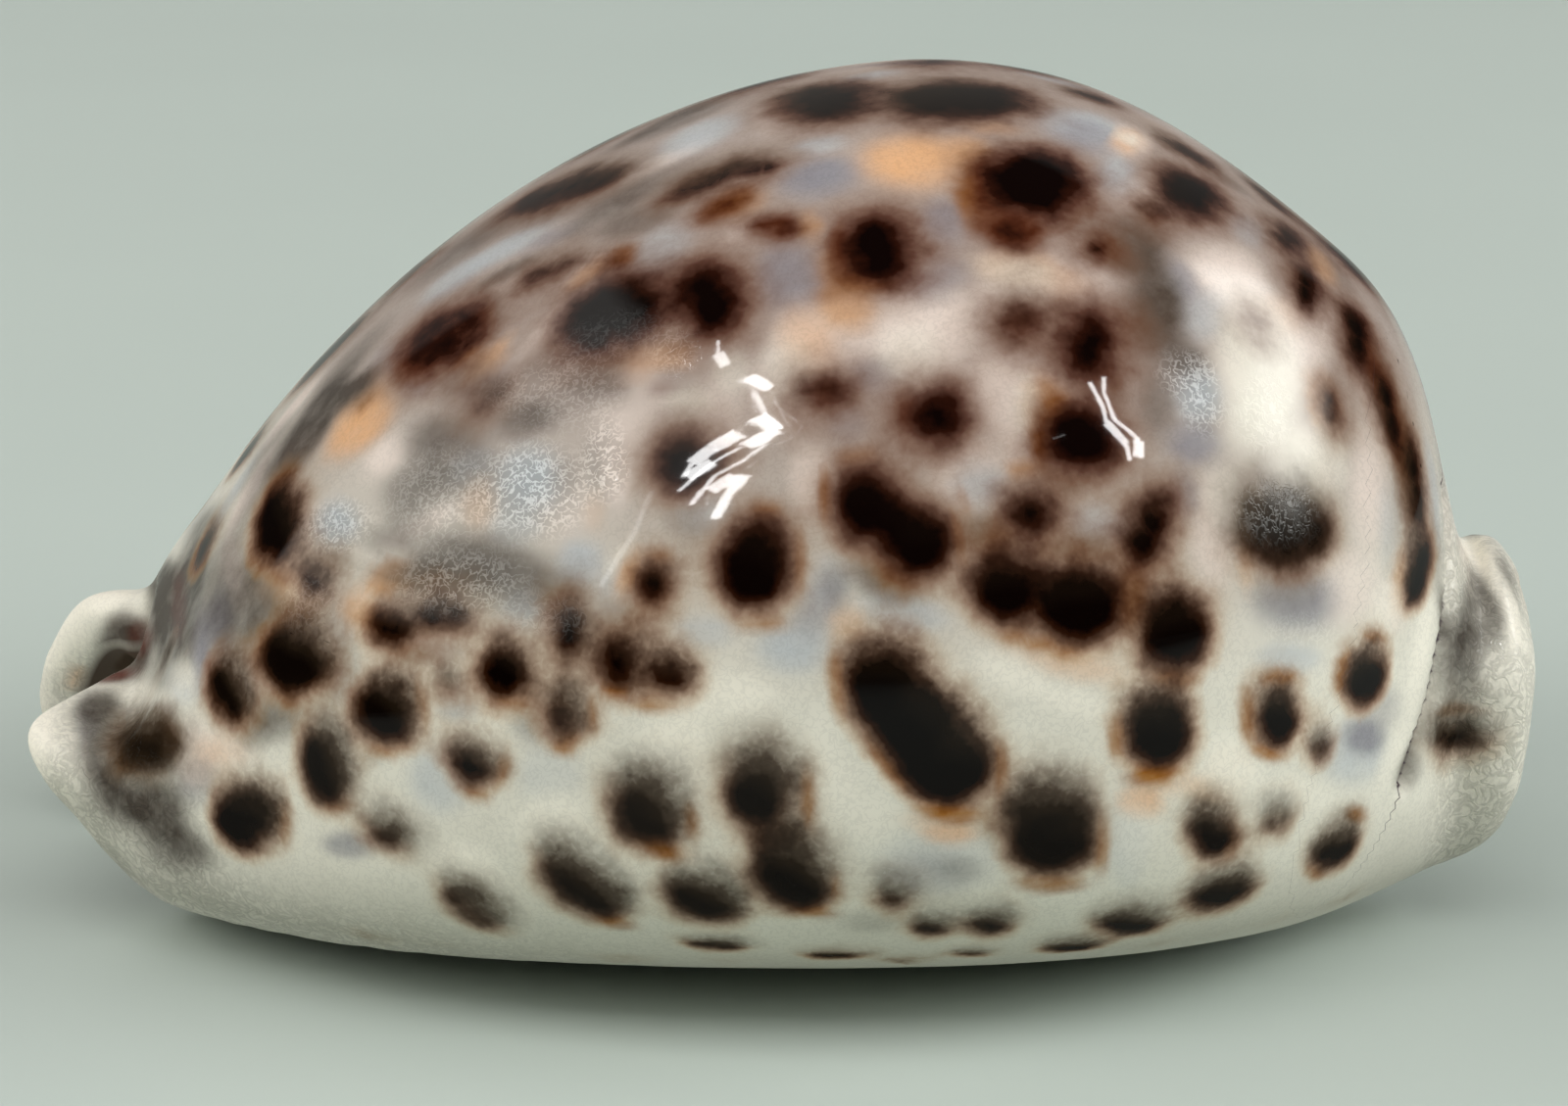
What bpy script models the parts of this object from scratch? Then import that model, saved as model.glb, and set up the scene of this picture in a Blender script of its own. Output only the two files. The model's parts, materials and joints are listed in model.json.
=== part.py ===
"""Tiger cowrie shell (Cypraea tigris), an empty adult shell resting on its base.

A cowrie grows as one piece: a domed, hollow body whose two lips face each other along a
toothed slit in the base and run out at each end as a pair of blunt flanges round a canal.
The surface here is one closed sheet. It starts at the top of the dome, comes down the
outside in rings, rolls over the lips into the slit, and goes up the inside of the wall to
the top of the hollow.

Frame: metres, +Z up, origin in the middle of the base. The narrow front end points along
-X and the blunt back end along +X. The outer lip is on the +Y side and the columellar
lip on the -Y side. The lists of sizes are in millimetres.
"""

from math import pi, radians, tan

import bmesh
import bpy
import numpy as np

MM = 0.001

# ---------------------------------------------------------------- driving dimensions

FRONT, BACK = -43.1, 43.1       # the tips of the form before the canals are cut back into them

# The outside, as lines that run from the front tip to the back tip: (place along X, value).
SLIT_Y = [(FRONT, 0.6), (-38, 0.8), (-25, 1.8), (-10, 3.0), (8, 3.4), (22, 2.0), (32, -0.4), (39, -1.8),
          (BACK, -2.4)]
CREST_Z = [(FRONT, 7.4), (-42.6, 11.0), (-41.6, 13.6), (-40.2, 15.2), (-38, 16.0), (-36.6, 16.6),
           (-35.4, 18.6), (-33.4, 21.4), (-30.9, 24.8), (-24.2, 32.4), (-15, 39.7), (-4, 44.9), (7.5, 47.1),
           (18, 45.6), (27, 40.7), (31, 37.6), (33.7, 34.9), (36, 30.0), (37.6, 23.6), (38.5, 20.6),
           (39.6, 20.4), (41.4, 19.0), (42.6, 16.6), (BACK, 13.6)]
BASE_Z = [(FRONT, 7.4), (-42.6, 4.0), (-41, 2.4), (-38, 1.4), (-34, 0.7), (-28, 0.1), (-20, -0.1), (-8, -0.3),
          (10, -0.3), (24, 0.1), (30, 0.8), (36, 2.4), (39.6, 3.8), (41.8, 6.8), (BACK, 13.6)]
WAIST_Z = [(FRONT, 7.4), (-38, 8.6), (-30, 10.8), (-18, 14.2), (-4, 17.0), (10, 18.2), (24, 18.0),
           (33, 16.2), (39, 14.2), (BACK, 13.6)]
NEAR_Y = [(FRONT, 0.6), (-42.7, -6.4), (-41.2, -9.8), (-38, -12.0), (-33, -15.4), (-24, -22.2),
          (-10, -28.2), (4, -30.0), (17, -28.4), (27, -22.8), (34, -15.6), (38, -11.4),
          (41.2, -10.0), (42.6, -7.4), (BACK, -2.4)]
FAR_Y = [(FRONT, 0.6), (-42.7, 8.0), (-41.2, 11.0), (-38, 12.8), (-33, 15.8), (-24, 22.2),
         (-10, 28.2), (4, 30.0), (17, 28.2), (27, 22.2), (34, 14.6), (38, 9.8),
         (41.2, 7.4), (42.6, 3.8), (BACK, -2.4)]

# The hollow inside, in the same way.
HOLLOW_FRONT, HOLLOW_BACK = -33.0, 35.0
HOLLOW_SLIT_Y = [(HOLLOW_FRONT, 1.4), (-10, 3.0), (8, 3.4), (22, 2.0), (HOLLOW_BACK, -1.0)]
HOLLOW_CREST_Z = [(HOLLOW_FRONT, 11.5), (-31.5, 16.6), (-27, 24.8), (-18, 34.8), (-6, 41.8), (7, 44.4),
                  (18, 42.6), (27, 36.4), (32.6, 28.0), (34.6, 20.0), (HOLLOW_BACK, 15.0)]
HOLLOW_BASE_Z = [(HOLLOW_FRONT, 11.5), (-31.5, 8.4), (-24, 6.4), (-8, 5.6), (10, 5.6), (26, 6.6),
                 (33, 10.0), (HOLLOW_BACK, 15.0)]
HOLLOW_WAIST_Z = [(HOLLOW_FRONT, 11.5), (-18, 15.5), (0, 18.5), (20, 19.0), (HOLLOW_BACK, 15.0)]
HOLLOW_NEAR_Y = [(HOLLOW_FRONT, 1.4), (-31.4, -6.4), (-26, -14.8), (-14, -23.6), (2, -27.4),
                 (16, -26.0), (26, -19.8), (32, -12.0), (34.4, -6.2), (HOLLOW_BACK, -1.0)]
HOLLOW_FAR_Y = [(HOLLOW_FRONT, 1.4), (-31.4, 7.4), (-26, 15.4), (-14, 23.6), (2, 27.4),
                (16, 25.8), (26, 19.2), (32, 10.8), (34.4, 4.6), (HOLLOW_BACK, -1.0)]

CREST_ROUND = 2.08      # section curve above the waist: 2 is an ellipse, more is boxier
BASE_ROUND = 2.7        # and below it
WAIST_BLEND = 8.0       # how fast the one becomes the other

# The slit: where it ends on the flanges, as an angle round the tips from straight below,
# and its half width along the way, in the plan that the rings are drawn in.
SLIT_FRONT_ANGLE, SLIT_BACK_ANGLE = 122.0, 100.0
SLIT_HALF = [(-1.7, 0.30), (-1.0, 0.19), (-0.476, 0.115), (-0.25, 0.066), (0, 0.052), (0.25, 0.046),
             (0.476, 0.064), (0.9, 0.10), (1.3, 0.12)]
SLIT_SQUARE, SLIT_SQUARE_REACH = 1.2, 0.35      # how blunt its ends are, and how far out that shows
LIP_ROUND = 2.3         # radius with which the outside turns into the slit
LIP_OUTER_PULL, LIP_INNER_PULL = 1.1, 1.2       # how far the slit's wall runs on from that round, and
                                                # into the hollow's, as parts of the way between them

# Places where the form is pushed out of the even shape: (centre, reach, push), each along X, Y, Z.
PUSHES = [
    ((-36.6, -6.8, 16.6), (4.8, 5.2, 5.4), (0.4, 0.0, -3.4)),       # the near front flange is the lower one
    ((-41.0, -9.0, 4.2), (5.0, 6.0, 5.4), (3.5, 0.0, 0.3)),         # and cut back at its foot
    ((-41.4, -7.0, 11.0), (3.6, 4.6, 3.6), (-1.2, 0.0, 0.6)),
    ((-42.2, 10.4, 8.2), (4.0, 4.6, 5.4), (-1.5, 0.0, 0.2)),        # the far one's rim, turned outward
    ((-40.2, 9.0, 14.2), (3.2, 5.0, 3.0), (-0.4, 0.0, 0.9)),
    ((-43.0, 6.0, 4.5), (4.6, 6.0, 7.5), (-2.2, 0.3, -0.4)),        # beside the longer far front flange
    ((37.2, -11.5, 11.0), (1.5, 4.4, 6.0), (0.0, 1.2, 0.0)),        # waist in front of the near back flange
    ((41.0, 1.0, 19.0), (3.0, 6.0, 4.0), (0.5, 0.0, 0.4)),          # high shoulder of the back flanges
    ((43.0, -5.0, 11.0), (3.0, 6.0, 6.0), (-0.8, 0.0, 0.0)),
]

ALONG = (0.76, 0.0, 0.0)        # moves the finished form so that its middle stands over the origin

TEETH = 25              # on each lip
TOOTH_FRONT, TOOTH_BACK = -33.0, 33.0
TOOTH_FADE = 5.0        # length over which the rows of teeth grow in at their two ends
TOOTH_HEIGHT = 0.9
TOOTH_RISE = 0.35       # how far they stand proud of the rounded edge
TOOTH_WALK = 4.5        # how far the ridges of the teeth run out over the base

# ---------------------------------------------------------------- how fine the mesh is

TIP_STEPS = 13          # coarse columns from the last tooth to the middle of a tip; one for each tooth
TIP_BUNCH = 1.35        # how much closer they stand next to the teeth
OUTER_RINGS, LIP_RINGS, INNER_RINGS = 24, 4, 9
FINE_RINGS = 7          # outer rings next to the slit that have two columns for each coarse one
RING_BUNCH = 1.45       # how much closer the rings stand near the slit than on the dome


def spline(points):
    """A smooth curve through (place, value) pairs, straight past its two ends."""
    place, value = np.array(points, float).T
    count = len(place)
    step = np.diff(place)
    matrix = np.eye(count)
    right = np.zeros(count)
    for i in range(1, count - 1):
        matrix[i, i - 1:i + 2] = step[i - 1], 2 * (step[i - 1] + step[i]), step[i]
        right[i] = 6 * ((value[i + 1] - value[i]) / step[i] - (value[i] - value[i - 1]) / step[i - 1])
    bend = np.linalg.solve(matrix, right)

    def curve(at):
        at = np.clip(at, place[0], place[-1])
        i = np.clip(np.searchsorted(place, at) - 1, 0, count - 2)
        h, before, after = step[i], place[i + 1] - at, at - place[i]
        cubic = (bend[i] * before ** 3 + bend[i + 1] * after ** 3) / (6 * h)
        return cubic + (value[i] / h - bend[i] * h / 6) * before + (value[i + 1] / h - bend[i + 1] * h / 6) * after

    return curve


def form(front, back, slit_y, crest_z, base_z, waist_z, near_y, far_y):
    """A function that lays points of the unit ball on the form that these lines give."""
    middle, half = (front + back) / 2, (back - front) / 2

    def turn(x):
        return np.arccos(np.clip(-(x - middle) / half, -1, 1)) / pi

    lines = [spline([(float(turn(x)), value) for x, value in line])
             for line in (slit_y, crest_z, base_z, waist_z, near_y, far_y)]

    def lay(ball):
        along, side, up = ball[..., 0], ball[..., 1], ball[..., 2]
        at = np.arccos(np.clip(-along, -1, 1)) / pi
        slit, crest, base, waist, near, far = (line(at) for line in lines)
        radius = np.hypot(side, up) + 1e-12
        c, s = side / radius, up / radius
        power = BASE_ROUND + (CREST_ROUND - BASE_ROUND) / (1 + np.exp(-s * WAIST_BLEND))
        reach = (np.abs(c) ** power + np.abs(s) ** power) ** (-1 / power)
        wide = np.where(c < 0, slit - near, far - slit)
        high = np.where(s > 0, crest - waist, waist - base)
        return np.stack([middle + half * along, slit + wide * reach * c, waist + high * reach * s], -1)

    return lay


OUTSIDE = form(FRONT, BACK, SLIT_Y, CREST_Z, BASE_Z, WAIST_Z, NEAR_Y, FAR_Y)
HOLLOW = form(HOLLOW_FRONT, HOLLOW_BACK, HOLLOW_SLIT_Y, HOLLOW_CREST_Z, HOLLOW_BASE_Z, HOLLOW_WAIST_Z,
              HOLLOW_NEAR_Y, HOLLOW_FAR_Y)

FRONT_REACH, BACK_REACH = tan(radians(SLIT_FRONT_ANGLE / 2)), tan(radians(SLIT_BACK_ANGLE / 2))
SLIT_MIDDLE, SLIT_LONG = (BACK_REACH - FRONT_REACH) / 2, (BACK_REACH + FRONT_REACH) / 2
half_width = spline(SLIT_HALF)


def ball_points(away, turn):
    """The unit ball's point a distance away from the slit (in the plan) and a turn round it.

    The plan is the ball seen from its top point: the slit lies across its middle as a long
    blunt oval, and the ovals round it grow into circles.
    """
    away, turn = np.broadcast_arrays(np.asarray(away, float), np.asarray(turn, float))
    c = np.cos(turn)
    u = SLIT_MIDDLE + (SLIT_LONG + away) * c
    blunt = 2 + SLIT_SQUARE * np.exp(-away / SLIT_SQUARE_REACH)
    bulge = np.maximum(1 - np.abs(c) ** blunt, 0) ** (1 / blunt) * np.sign(np.sin(turn))
    v = (half_width(SLIT_MIDDLE + SLIT_LONG * c) + away) * bulge
    k = u * u + v * v
    return np.stack([2 * u / (1 + k), 2 * v / (1 + k), (k - 1) / (1 + k)], -1)


def slit_turn(x):
    """The turn round the slit at a place along it."""
    u = np.tan(np.arcsin(x / BACK) / 2)
    return np.arccos((u - SLIT_MIDDLE) / SLIT_LONG)


def columns(fine):
    """Turns round the whole slit, with this many columns to a tooth."""
    teeth = slit_turn(np.linspace(TOOTH_BACK, TOOTH_FRONT, TEETH * fine + 1))
    ease = 1 - (1 - np.linspace(0, 1, TIP_STEPS * fine + 1)[:-1]) ** TIP_BUNCH
    back_tip = teeth[0] * ease
    front_tip = pi - (pi - teeth[-1]) * ease[::-1]
    far_side = np.concatenate([back_tip, teeth, front_tip])
    return np.concatenate([far_side, -far_side[-2:0:-1]])


def tooth_ridge(turns):
    """How tall the tooth is at each turn: 1 on a tooth, 0 between two."""
    u = SLIT_MIDDLE + SLIT_LONG * np.cos(turns)
    x = BACK * 2 * u / (1 + u * u)
    phase = 2 * pi * TEETH * (x - TOOTH_FRONT) / (TOOTH_BACK - TOOTH_FRONT)
    inside = np.clip(np.minimum(x - TOOTH_FRONT, TOOTH_BACK - x) / TOOTH_FADE, 0, 1)
    return inside * (0.5 - 0.5 * np.cos(phase))


def ring_climbs(count):
    return 180 * (np.arange(count) / count) ** RING_BUNCH


def pushed(points):
    """The points moved with the places where the form is pushed out of the even shape."""
    return points + sum(np.exp(-(((points - centre) / span) ** 2).sum(-1, keepdims=True)) * push
                        for centre, span, push in np.array(PUSHES))


def length(vectors):
    return np.linalg.norm(vectors, axis=-1, keepdims=True)


def sheet(lay, climbs, turns):
    """Points on a form, the way that leads away from the slit there, and the way out."""
    away, turn = np.meshgrid(np.tan(np.radians(climbs) / 2), turns, indexing="ij")
    small = 0.004
    points = lay(ball_points(away, turn))
    leave = lay(ball_points(away + small * (1 + away), turn)) - points
    along = lay(ball_points(away, turn + small)) - lay(ball_points(away, turn - small))
    out = np.cross(along, leave)
    return points, leave / length(leave), out / length(out)


def outside_rings(climbs, turns):
    """Rings over the outside, from the slit's rounded edge to the ring next to the top."""
    points, _, out = sheet(OUTSIDE, climbs, turns)
    steps = length(np.diff(points, axis=0))
    walked = np.concatenate([np.zeros_like(steps[:1]), np.cumsum(steps, axis=0)])
    short = np.clip(1 - walked / LIP_ROUND, 0, 1)
    ridge = tooth_ridge(turns)[:, None] * np.clip(1 - walked / TOOTH_WALK, 0, 1)
    points = pushed(points + out * (TOOTH_RISE * ridge - LIP_ROUND * (1 - np.sqrt(1 - short ** 2))))
    points[..., 2] = np.maximum(points[..., 2], 0)
    return points


def lip_rings(count, turns):
    """Rings down the slit's wall, from its rounded edge to the hollow."""
    start, leave_start, out = sheet(OUTSIDE, np.zeros(1), turns)
    stop, leave_stop, _ = sheet(HOLLOW, np.zeros(1), turns)
    ridge = tooth_ridge(turns)[:, None]
    start = start - out * (LIP_ROUND - TOOTH_RISE * ridge)
    q = np.linspace(0, 1, count + 2)[1:-1, None, None]
    gap = length(stop - start)
    wall = ((1 + 2 * q) * (1 - q) ** 2 * start + q * q * (3 - 2 * q) * stop
            - q * (1 - q) ** 2 * LIP_OUTER_PULL * gap * out
            + q * q * (q - 1) * LIP_INNER_PULL * gap * leave_stop)
    return pushed(wall - leave_start * TOOTH_HEIGHT * ridge * np.sin(pi * q) ** 0.7)


def shell_rings():
    """Every ring of the closed sheet, from beside the top of the dome to beside the hollow's top."""
    turns = columns(2)
    outside = outside_rings(ring_climbs(OUTER_RINGS), turns)
    lips = lip_rings(LIP_RINGS, turns)
    hollow = sheet(HOLLOW, ring_climbs(INNER_RINGS), turns)[0]
    fine = list(outside[FINE_RINGS - 1::-1]) + list(lips)
    coarse = [ring[::2] for ring in outside[:FINE_RINGS - 1:-1]]
    return coarse + fine + [ring[::2] for ring in hollow]


def bridge(bm, ring, other):
    """Faces between two rings, of which either may have twice as many points as the other."""
    ring, other = sorted((ring, other), key=len)
    count, step = len(ring), len(other) // len(ring)
    for i in range(count):
        near = [ring[i], ring[(i + 1) % count]]
        far = [other[(i * step + k) % len(other)] for k in range(step + 1)]
        if step == 1:
            bm.faces.new((near[0], far[0], far[1], near[1]))
        else:
            bm.faces.new((near[0], far[0], far[1]))
            bm.faces.new((near[0], far[1], near[1]))
            bm.faces.new((near[1], far[1], far[2]))


def cap(bm, ring, point):
    """Close a ring with a fan of triangles to one point."""
    tip = bm.verts.new(point)
    for i, vert in enumerate(ring):
        bm.faces.new((tip, vert, ring[(i + 1) % len(ring)]))


def build_shell(collection):
    rings = shell_rings()
    top_point = np.array([0.0, 0.0, 1.0])
    bm = bmesh.new()
    rings = [[bm.verts.new((point + ALONG) * MM) for point in ring] for ring in rings]
    for ring, other in zip(rings, rings[1:]):
        bridge(bm, ring, other)
    cap(bm, rings[0], (OUTSIDE(top_point) + ALONG) * MM)
    cap(bm, rings[-1], (HOLLOW(top_point) + ALONG) * MM)
    bmesh.ops.triangulate(bm, faces=bm.faces[:])
    bmesh.ops.recalc_face_normals(bm, faces=bm.faces[:])
    mesh = bpy.data.meshes.new("shell")
    bm.to_mesh(mesh)
    bm.free()
    mesh.shade_smooth()
    mesh.materials.append(glazed_shell_material())
    shell = bpy.data.objects.new("shell", mesh)
    collection.objects.link(shell)
    return shell


def glazed_shell_material():
    material = bpy.data.materials.new("glazed aragonite")
    material.use_nodes = True
    shader = material.node_tree.nodes["Principled BSDF"]
    shader.inputs["Base Color"].default_value = (0.45, 0.40, 0.34, 1)
    shader.inputs["Roughness"].default_value = 0.18
    shader.inputs["Metallic"].default_value = 0.0
    return material


def main():
    for item in list(bpy.data.objects):
        bpy.data.objects.remove(item)
    collection = bpy.data.collections.new("cowrie_shell")
    bpy.context.scene.collection.children.link(collection)
    build_shell(collection)


main()
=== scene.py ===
"""Tiger cowrie shell (Cypraea tigris): glazed, spotted and hollow, resting on its base.

The shell is one closed sheet. A sphere primitive is drawn out into it: the sphere's north pole
is the top of the dome, its rings come down the outside, roll over the toothed lips into the
slit, and go up the inside of the wall, and its south pole is the top of the hollow. Then the
surface gets its folds, grooves and wrinkles, and its spots and clouds are laid on it as
attributes, which the glaze material reads.

Lists of places are in millimetres. Markings are drawn on a plane through the middle of the
shell, square to the line of sight from the columellar side, and carried on to the surface.
"""

import json
from math import cos, pi, radians, sin, tan

import bpy
import numpy as np
from bpy.props import FloatProperty, PointerProperty, StringProperty
from mathutils import Matrix, Quaternion, Vector, noise
from mathutils.bvhtree import BVHTree

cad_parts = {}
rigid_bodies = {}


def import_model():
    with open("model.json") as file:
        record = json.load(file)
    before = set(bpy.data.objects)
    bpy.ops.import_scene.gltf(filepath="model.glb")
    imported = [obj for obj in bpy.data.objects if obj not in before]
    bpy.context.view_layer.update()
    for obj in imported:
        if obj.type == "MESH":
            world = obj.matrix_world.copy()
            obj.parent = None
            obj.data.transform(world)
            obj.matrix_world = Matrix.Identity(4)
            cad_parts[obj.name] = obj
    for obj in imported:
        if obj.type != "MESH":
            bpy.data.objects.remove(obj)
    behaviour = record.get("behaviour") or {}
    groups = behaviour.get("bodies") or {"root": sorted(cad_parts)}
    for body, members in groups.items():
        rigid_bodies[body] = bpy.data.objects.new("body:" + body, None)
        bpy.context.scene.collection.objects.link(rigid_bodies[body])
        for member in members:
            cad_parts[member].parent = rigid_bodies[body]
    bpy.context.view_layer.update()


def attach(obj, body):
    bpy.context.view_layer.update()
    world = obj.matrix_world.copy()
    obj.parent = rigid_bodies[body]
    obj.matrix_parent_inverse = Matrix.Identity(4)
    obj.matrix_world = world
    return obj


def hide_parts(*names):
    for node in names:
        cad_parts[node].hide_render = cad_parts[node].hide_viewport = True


bl_info = {"name": "Tiger cowrie shell", "version": (1, 0, 0), "blender": (4, 5, 0),
           "location": "3D View > Sidebar > Cowrie",
           "description": "Models and glazes a tiger cowrie shell and sets it on a plain table",
           "category": "Object"}

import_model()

MM = 0.001

# ---------------------------------------------------------------- the form

FRONT, BACK = -43.1, 43.1       # the tips of the form before the canals are cut back into them

# The outside, as lines that run from the front tip to the back tip: (place along X, value).
SLIT_Y = [(FRONT, 0.6), (-38, 0.8), (-25, 1.8), (-10, 3.0), (8, 3.4), (22, 2.0), (32, -0.4), (39, -1.8),
          (BACK, -2.4)]
CREST_Z = [(FRONT, 7.4), (-42.6, 11.0), (-41.6, 13.6), (-40.2, 15.2), (-38, 16.0), (-36.6, 16.6),
           (-35.4, 18.6), (-33.4, 21.4), (-30.9, 24.8), (-24.2, 32.4), (-15, 39.7), (-4, 44.9),
           (7.5, 47.1), (18, 45.6), (27, 40.7), (31, 37.6), (33.7, 34.9), (36, 30.0), (37.6, 23.6),
           (38.5, 20.6), (39.6, 20.4), (41.4, 19.0), (42.6, 16.6), (BACK, 13.6)]
BASE_Z = [(FRONT, 7.4), (-42.6, 4.0), (-41, 2.4), (-38, 1.4), (-34, 0.7), (-28, 0.1), (-20, -0.1),
          (-8, -0.3), (10, -0.3), (24, 0.1), (30, 0.8), (36, 2.4), (39.6, 3.8), (41.8, 6.8),
          (BACK, 13.6)]
WAIST_Z = [(FRONT, 7.4), (-38, 8.6), (-30, 10.8), (-18, 14.2), (-4, 17.0), (10, 18.2), (24, 18.0),
           (33, 16.2), (39, 14.2), (BACK, 13.6)]
NEAR_Y = [(FRONT, 0.6), (-42.7, -6.4), (-41.2, -9.8), (-38, -12.0), (-33, -15.4), (-24, -22.2),
          (-10, -28.2), (4, -30.0), (17, -28.4), (27, -22.8), (34, -15.6), (38, -11.4),
          (41.2, -10.0), (42.6, -7.4), (BACK, -2.4)]
FAR_Y = [(FRONT, 0.6), (-42.7, 8.0), (-41.2, 11.0), (-38, 12.8), (-33, 15.8), (-24, 22.2),
         (-10, 28.2), (4, 30.0), (17, 28.2), (27, 22.2), (34, 14.6), (38, 9.8),
         (41.2, 7.4), (42.6, 3.8), (BACK, -2.4)]

# The hollow inside, in the same way.
HOLLOW_FRONT, HOLLOW_BACK = -33.0, 35.0
HOLLOW_SLIT_Y = [(HOLLOW_FRONT, 1.4), (-10, 3.0), (8, 3.4), (22, 2.0), (HOLLOW_BACK, -1.0)]
HOLLOW_CREST_Z = [(HOLLOW_FRONT, 11.5), (-31.5, 16.6), (-27, 24.8), (-18, 34.8), (-6, 41.8), (7, 44.4),
                  (18, 42.6), (27, 36.4), (32.6, 28.0), (34.6, 20.0), (HOLLOW_BACK, 15.0)]
HOLLOW_BASE_Z = [(HOLLOW_FRONT, 11.5), (-31.5, 8.4), (-24, 6.4), (-8, 5.6), (10, 5.6), (26, 6.6),
                 (33, 10.0), (HOLLOW_BACK, 15.0)]
HOLLOW_WAIST_Z = [(HOLLOW_FRONT, 11.5), (-18, 15.5), (0, 18.5), (20, 19.0), (HOLLOW_BACK, 15.0)]
HOLLOW_NEAR_Y = [(HOLLOW_FRONT, 1.4), (-31.4, -6.4), (-26, -14.8), (-14, -23.6), (2, -27.4),
                 (16, -26.0), (26, -19.8), (32, -12.0), (34.4, -6.2), (HOLLOW_BACK, -1.0)]
HOLLOW_FAR_Y = [(HOLLOW_FRONT, 1.4), (-31.4, 7.4), (-26, 15.4), (-14, 23.6), (2, 27.4),
                (16, 25.8), (26, 19.2), (32, 10.8), (34.4, 4.6), (HOLLOW_BACK, -1.0)]

CREST_ROUND = 2.08      # section curve above the waist: 2 is an ellipse, more is boxier
BASE_ROUND = 2.7        # and below it
WAIST_BLEND = 8.0       # how fast the one becomes the other

# The slit: where it ends on the flanges, as an angle round the tips from straight below,
# and its half width along the way, in the plan that the rings are drawn in.
SLIT_FRONT_ANGLE, SLIT_BACK_ANGLE = 122.0, 100.0
SLIT_HALF = [(-1.7, 0.30), (-1.0, 0.19), (-0.476, 0.115), (-0.25, 0.066), (0, 0.052), (0.25, 0.046),
             (0.476, 0.064), (0.9, 0.10), (1.3, 0.12)]
SLIT_SQUARE, SLIT_SQUARE_REACH = 1.2, 0.35      # how blunt its ends are, and how far out that shows
LIP_ROUND = 2.3         # radius with which the outside turns into the slit
LIP_OUTER_PULL, LIP_INNER_PULL = 1.1, 1.2       # how far the slit's wall runs on from that round, and
                                                # into the hollow's, as parts of the way between them

# Places where the form is pushed out of or into the even shape: (centre, reach, push), along X, Y, Z.
PUSHES = [
    ((-36.6, -6.8, 16.6), (4.8, 5.2, 5.4), (0.4, 0.0, -3.4)),       # the near front flange is lower
    ((-41.0, -9.0, 4.2), (5.0, 6.0, 5.4), (3.5, 0.0, 0.3)),         # and cut back at its foot
    ((-41.4, -7.0, 11.0), (3.6, 4.6, 3.6), (-1.2, 0.0, 0.6)),
    ((-42.2, 10.4, 8.2), (4.0, 4.6, 5.4), (-1.5, 0.0, 0.2)),        # the far one's rim, turned outward
    ((-40.2, 9.0, 14.2), (3.2, 5.0, 3.0), (-0.4, 0.0, 0.9)),
    ((-43.0, 6.0, 4.5), (4.6, 6.0, 7.5), (-2.2, 0.3, -0.4)),        # beside the longer far front flange
    ((37.2, -11.5, 11.0), (1.5, 4.4, 6.0), (0.0, 1.2, 0.0)),        # waist before the near back flange
    ((41.0, 1.0, 19.0), (3.0, 6.0, 4.0), (0.5, 0.0, 0.4)),          # high shoulder of the back flanges
    ((43.0, -5.0, 11.0), (3.0, 6.0, 6.0), (-0.8, 0.0, 0.0)),
]

ALONG = (0.76, 0.0, 0.0)        # moves the finished form so that its middle stands over the origin

TEETH = 25              # on each lip
TOOTH_FRONT, TOOTH_BACK = -33.0, 33.0
TOOTH_FADE = 5.0        # length over which the rows of teeth grow in at their two ends
TOOTH_HEIGHT = 0.9
TOOTH_RISE = 0.35       # how far they stand proud of the rounded edge
TOOTH_WALK = 4.5        # how far the ridges of the teeth run out over the base

TIP_STEPS = 13          # steps of columns from the last tooth to a tip's middle; one for each tooth
TIP_BUNCH = 1.35        # how much closer they stand next to the teeth
COLUMNS_A_TOOTH = 6
OUTER_RINGS, LIP_RINGS, INNER_RINGS = 130, 13, 20
RING_BUNCH = 1.15       # how much closer the rings stand near the slit than on the dome


def spline(points):
    """A smooth curve through (place, value) pairs, straight past its two ends."""
    place, value = np.array(points, float).T
    count = len(place)
    step = np.diff(place)
    matrix = np.eye(count)
    right = np.zeros(count)
    for i in range(1, count - 1):
        matrix[i, i - 1:i + 2] = step[i - 1], 2 * (step[i - 1] + step[i]), step[i]
        right[i] = 6 * ((value[i + 1] - value[i]) / step[i] - (value[i] - value[i - 1]) / step[i - 1])
    bend = np.linalg.solve(matrix, right)

    def curve(at):
        at = np.clip(at, place[0], place[-1])
        i = np.clip(np.searchsorted(place, at) - 1, 0, count - 2)
        h, before, after = step[i], place[i + 1] - at, at - place[i]
        cubic = (bend[i] * before ** 3 + bend[i + 1] * after ** 3) / (6 * h)
        falling = (value[i] / h - bend[i] * h / 6) * before
        rising = (value[i + 1] / h - bend[i + 1] * h / 6) * after
        return cubic + falling + rising

    return curve


def form(front, back, slit_y, crest_z, base_z, waist_z, near_y, far_y):
    """A function that lays points of the unit ball on the form that these lines give."""
    middle, half = (front + back) / 2, (back - front) / 2

    def turn(x):
        return np.arccos(np.clip(-(x - middle) / half, -1, 1)) / pi

    lines = [spline([(float(turn(x)), value) for x, value in line])
             for line in (slit_y, crest_z, base_z, waist_z, near_y, far_y)]

    def lay(ball):
        along, side, up = ball[..., 0], ball[..., 1], ball[..., 2]
        at = np.arccos(np.clip(-along, -1, 1)) / pi
        slit, crest, base, waist, near, far = (line(at) for line in lines)
        radius = np.hypot(side, up) + 1e-12
        c, s = side / radius, up / radius
        power = BASE_ROUND + (CREST_ROUND - BASE_ROUND) / (1 + np.exp(-s * WAIST_BLEND))
        reach = (np.abs(c) ** power + np.abs(s) ** power) ** (-1 / power)
        wide = np.where(c < 0, slit - near, far - slit)
        high = np.where(s > 0, crest - waist, waist - base)
        return np.stack([middle + half * along, slit + wide * reach * c, waist + high * reach * s], -1)

    return lay


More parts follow.
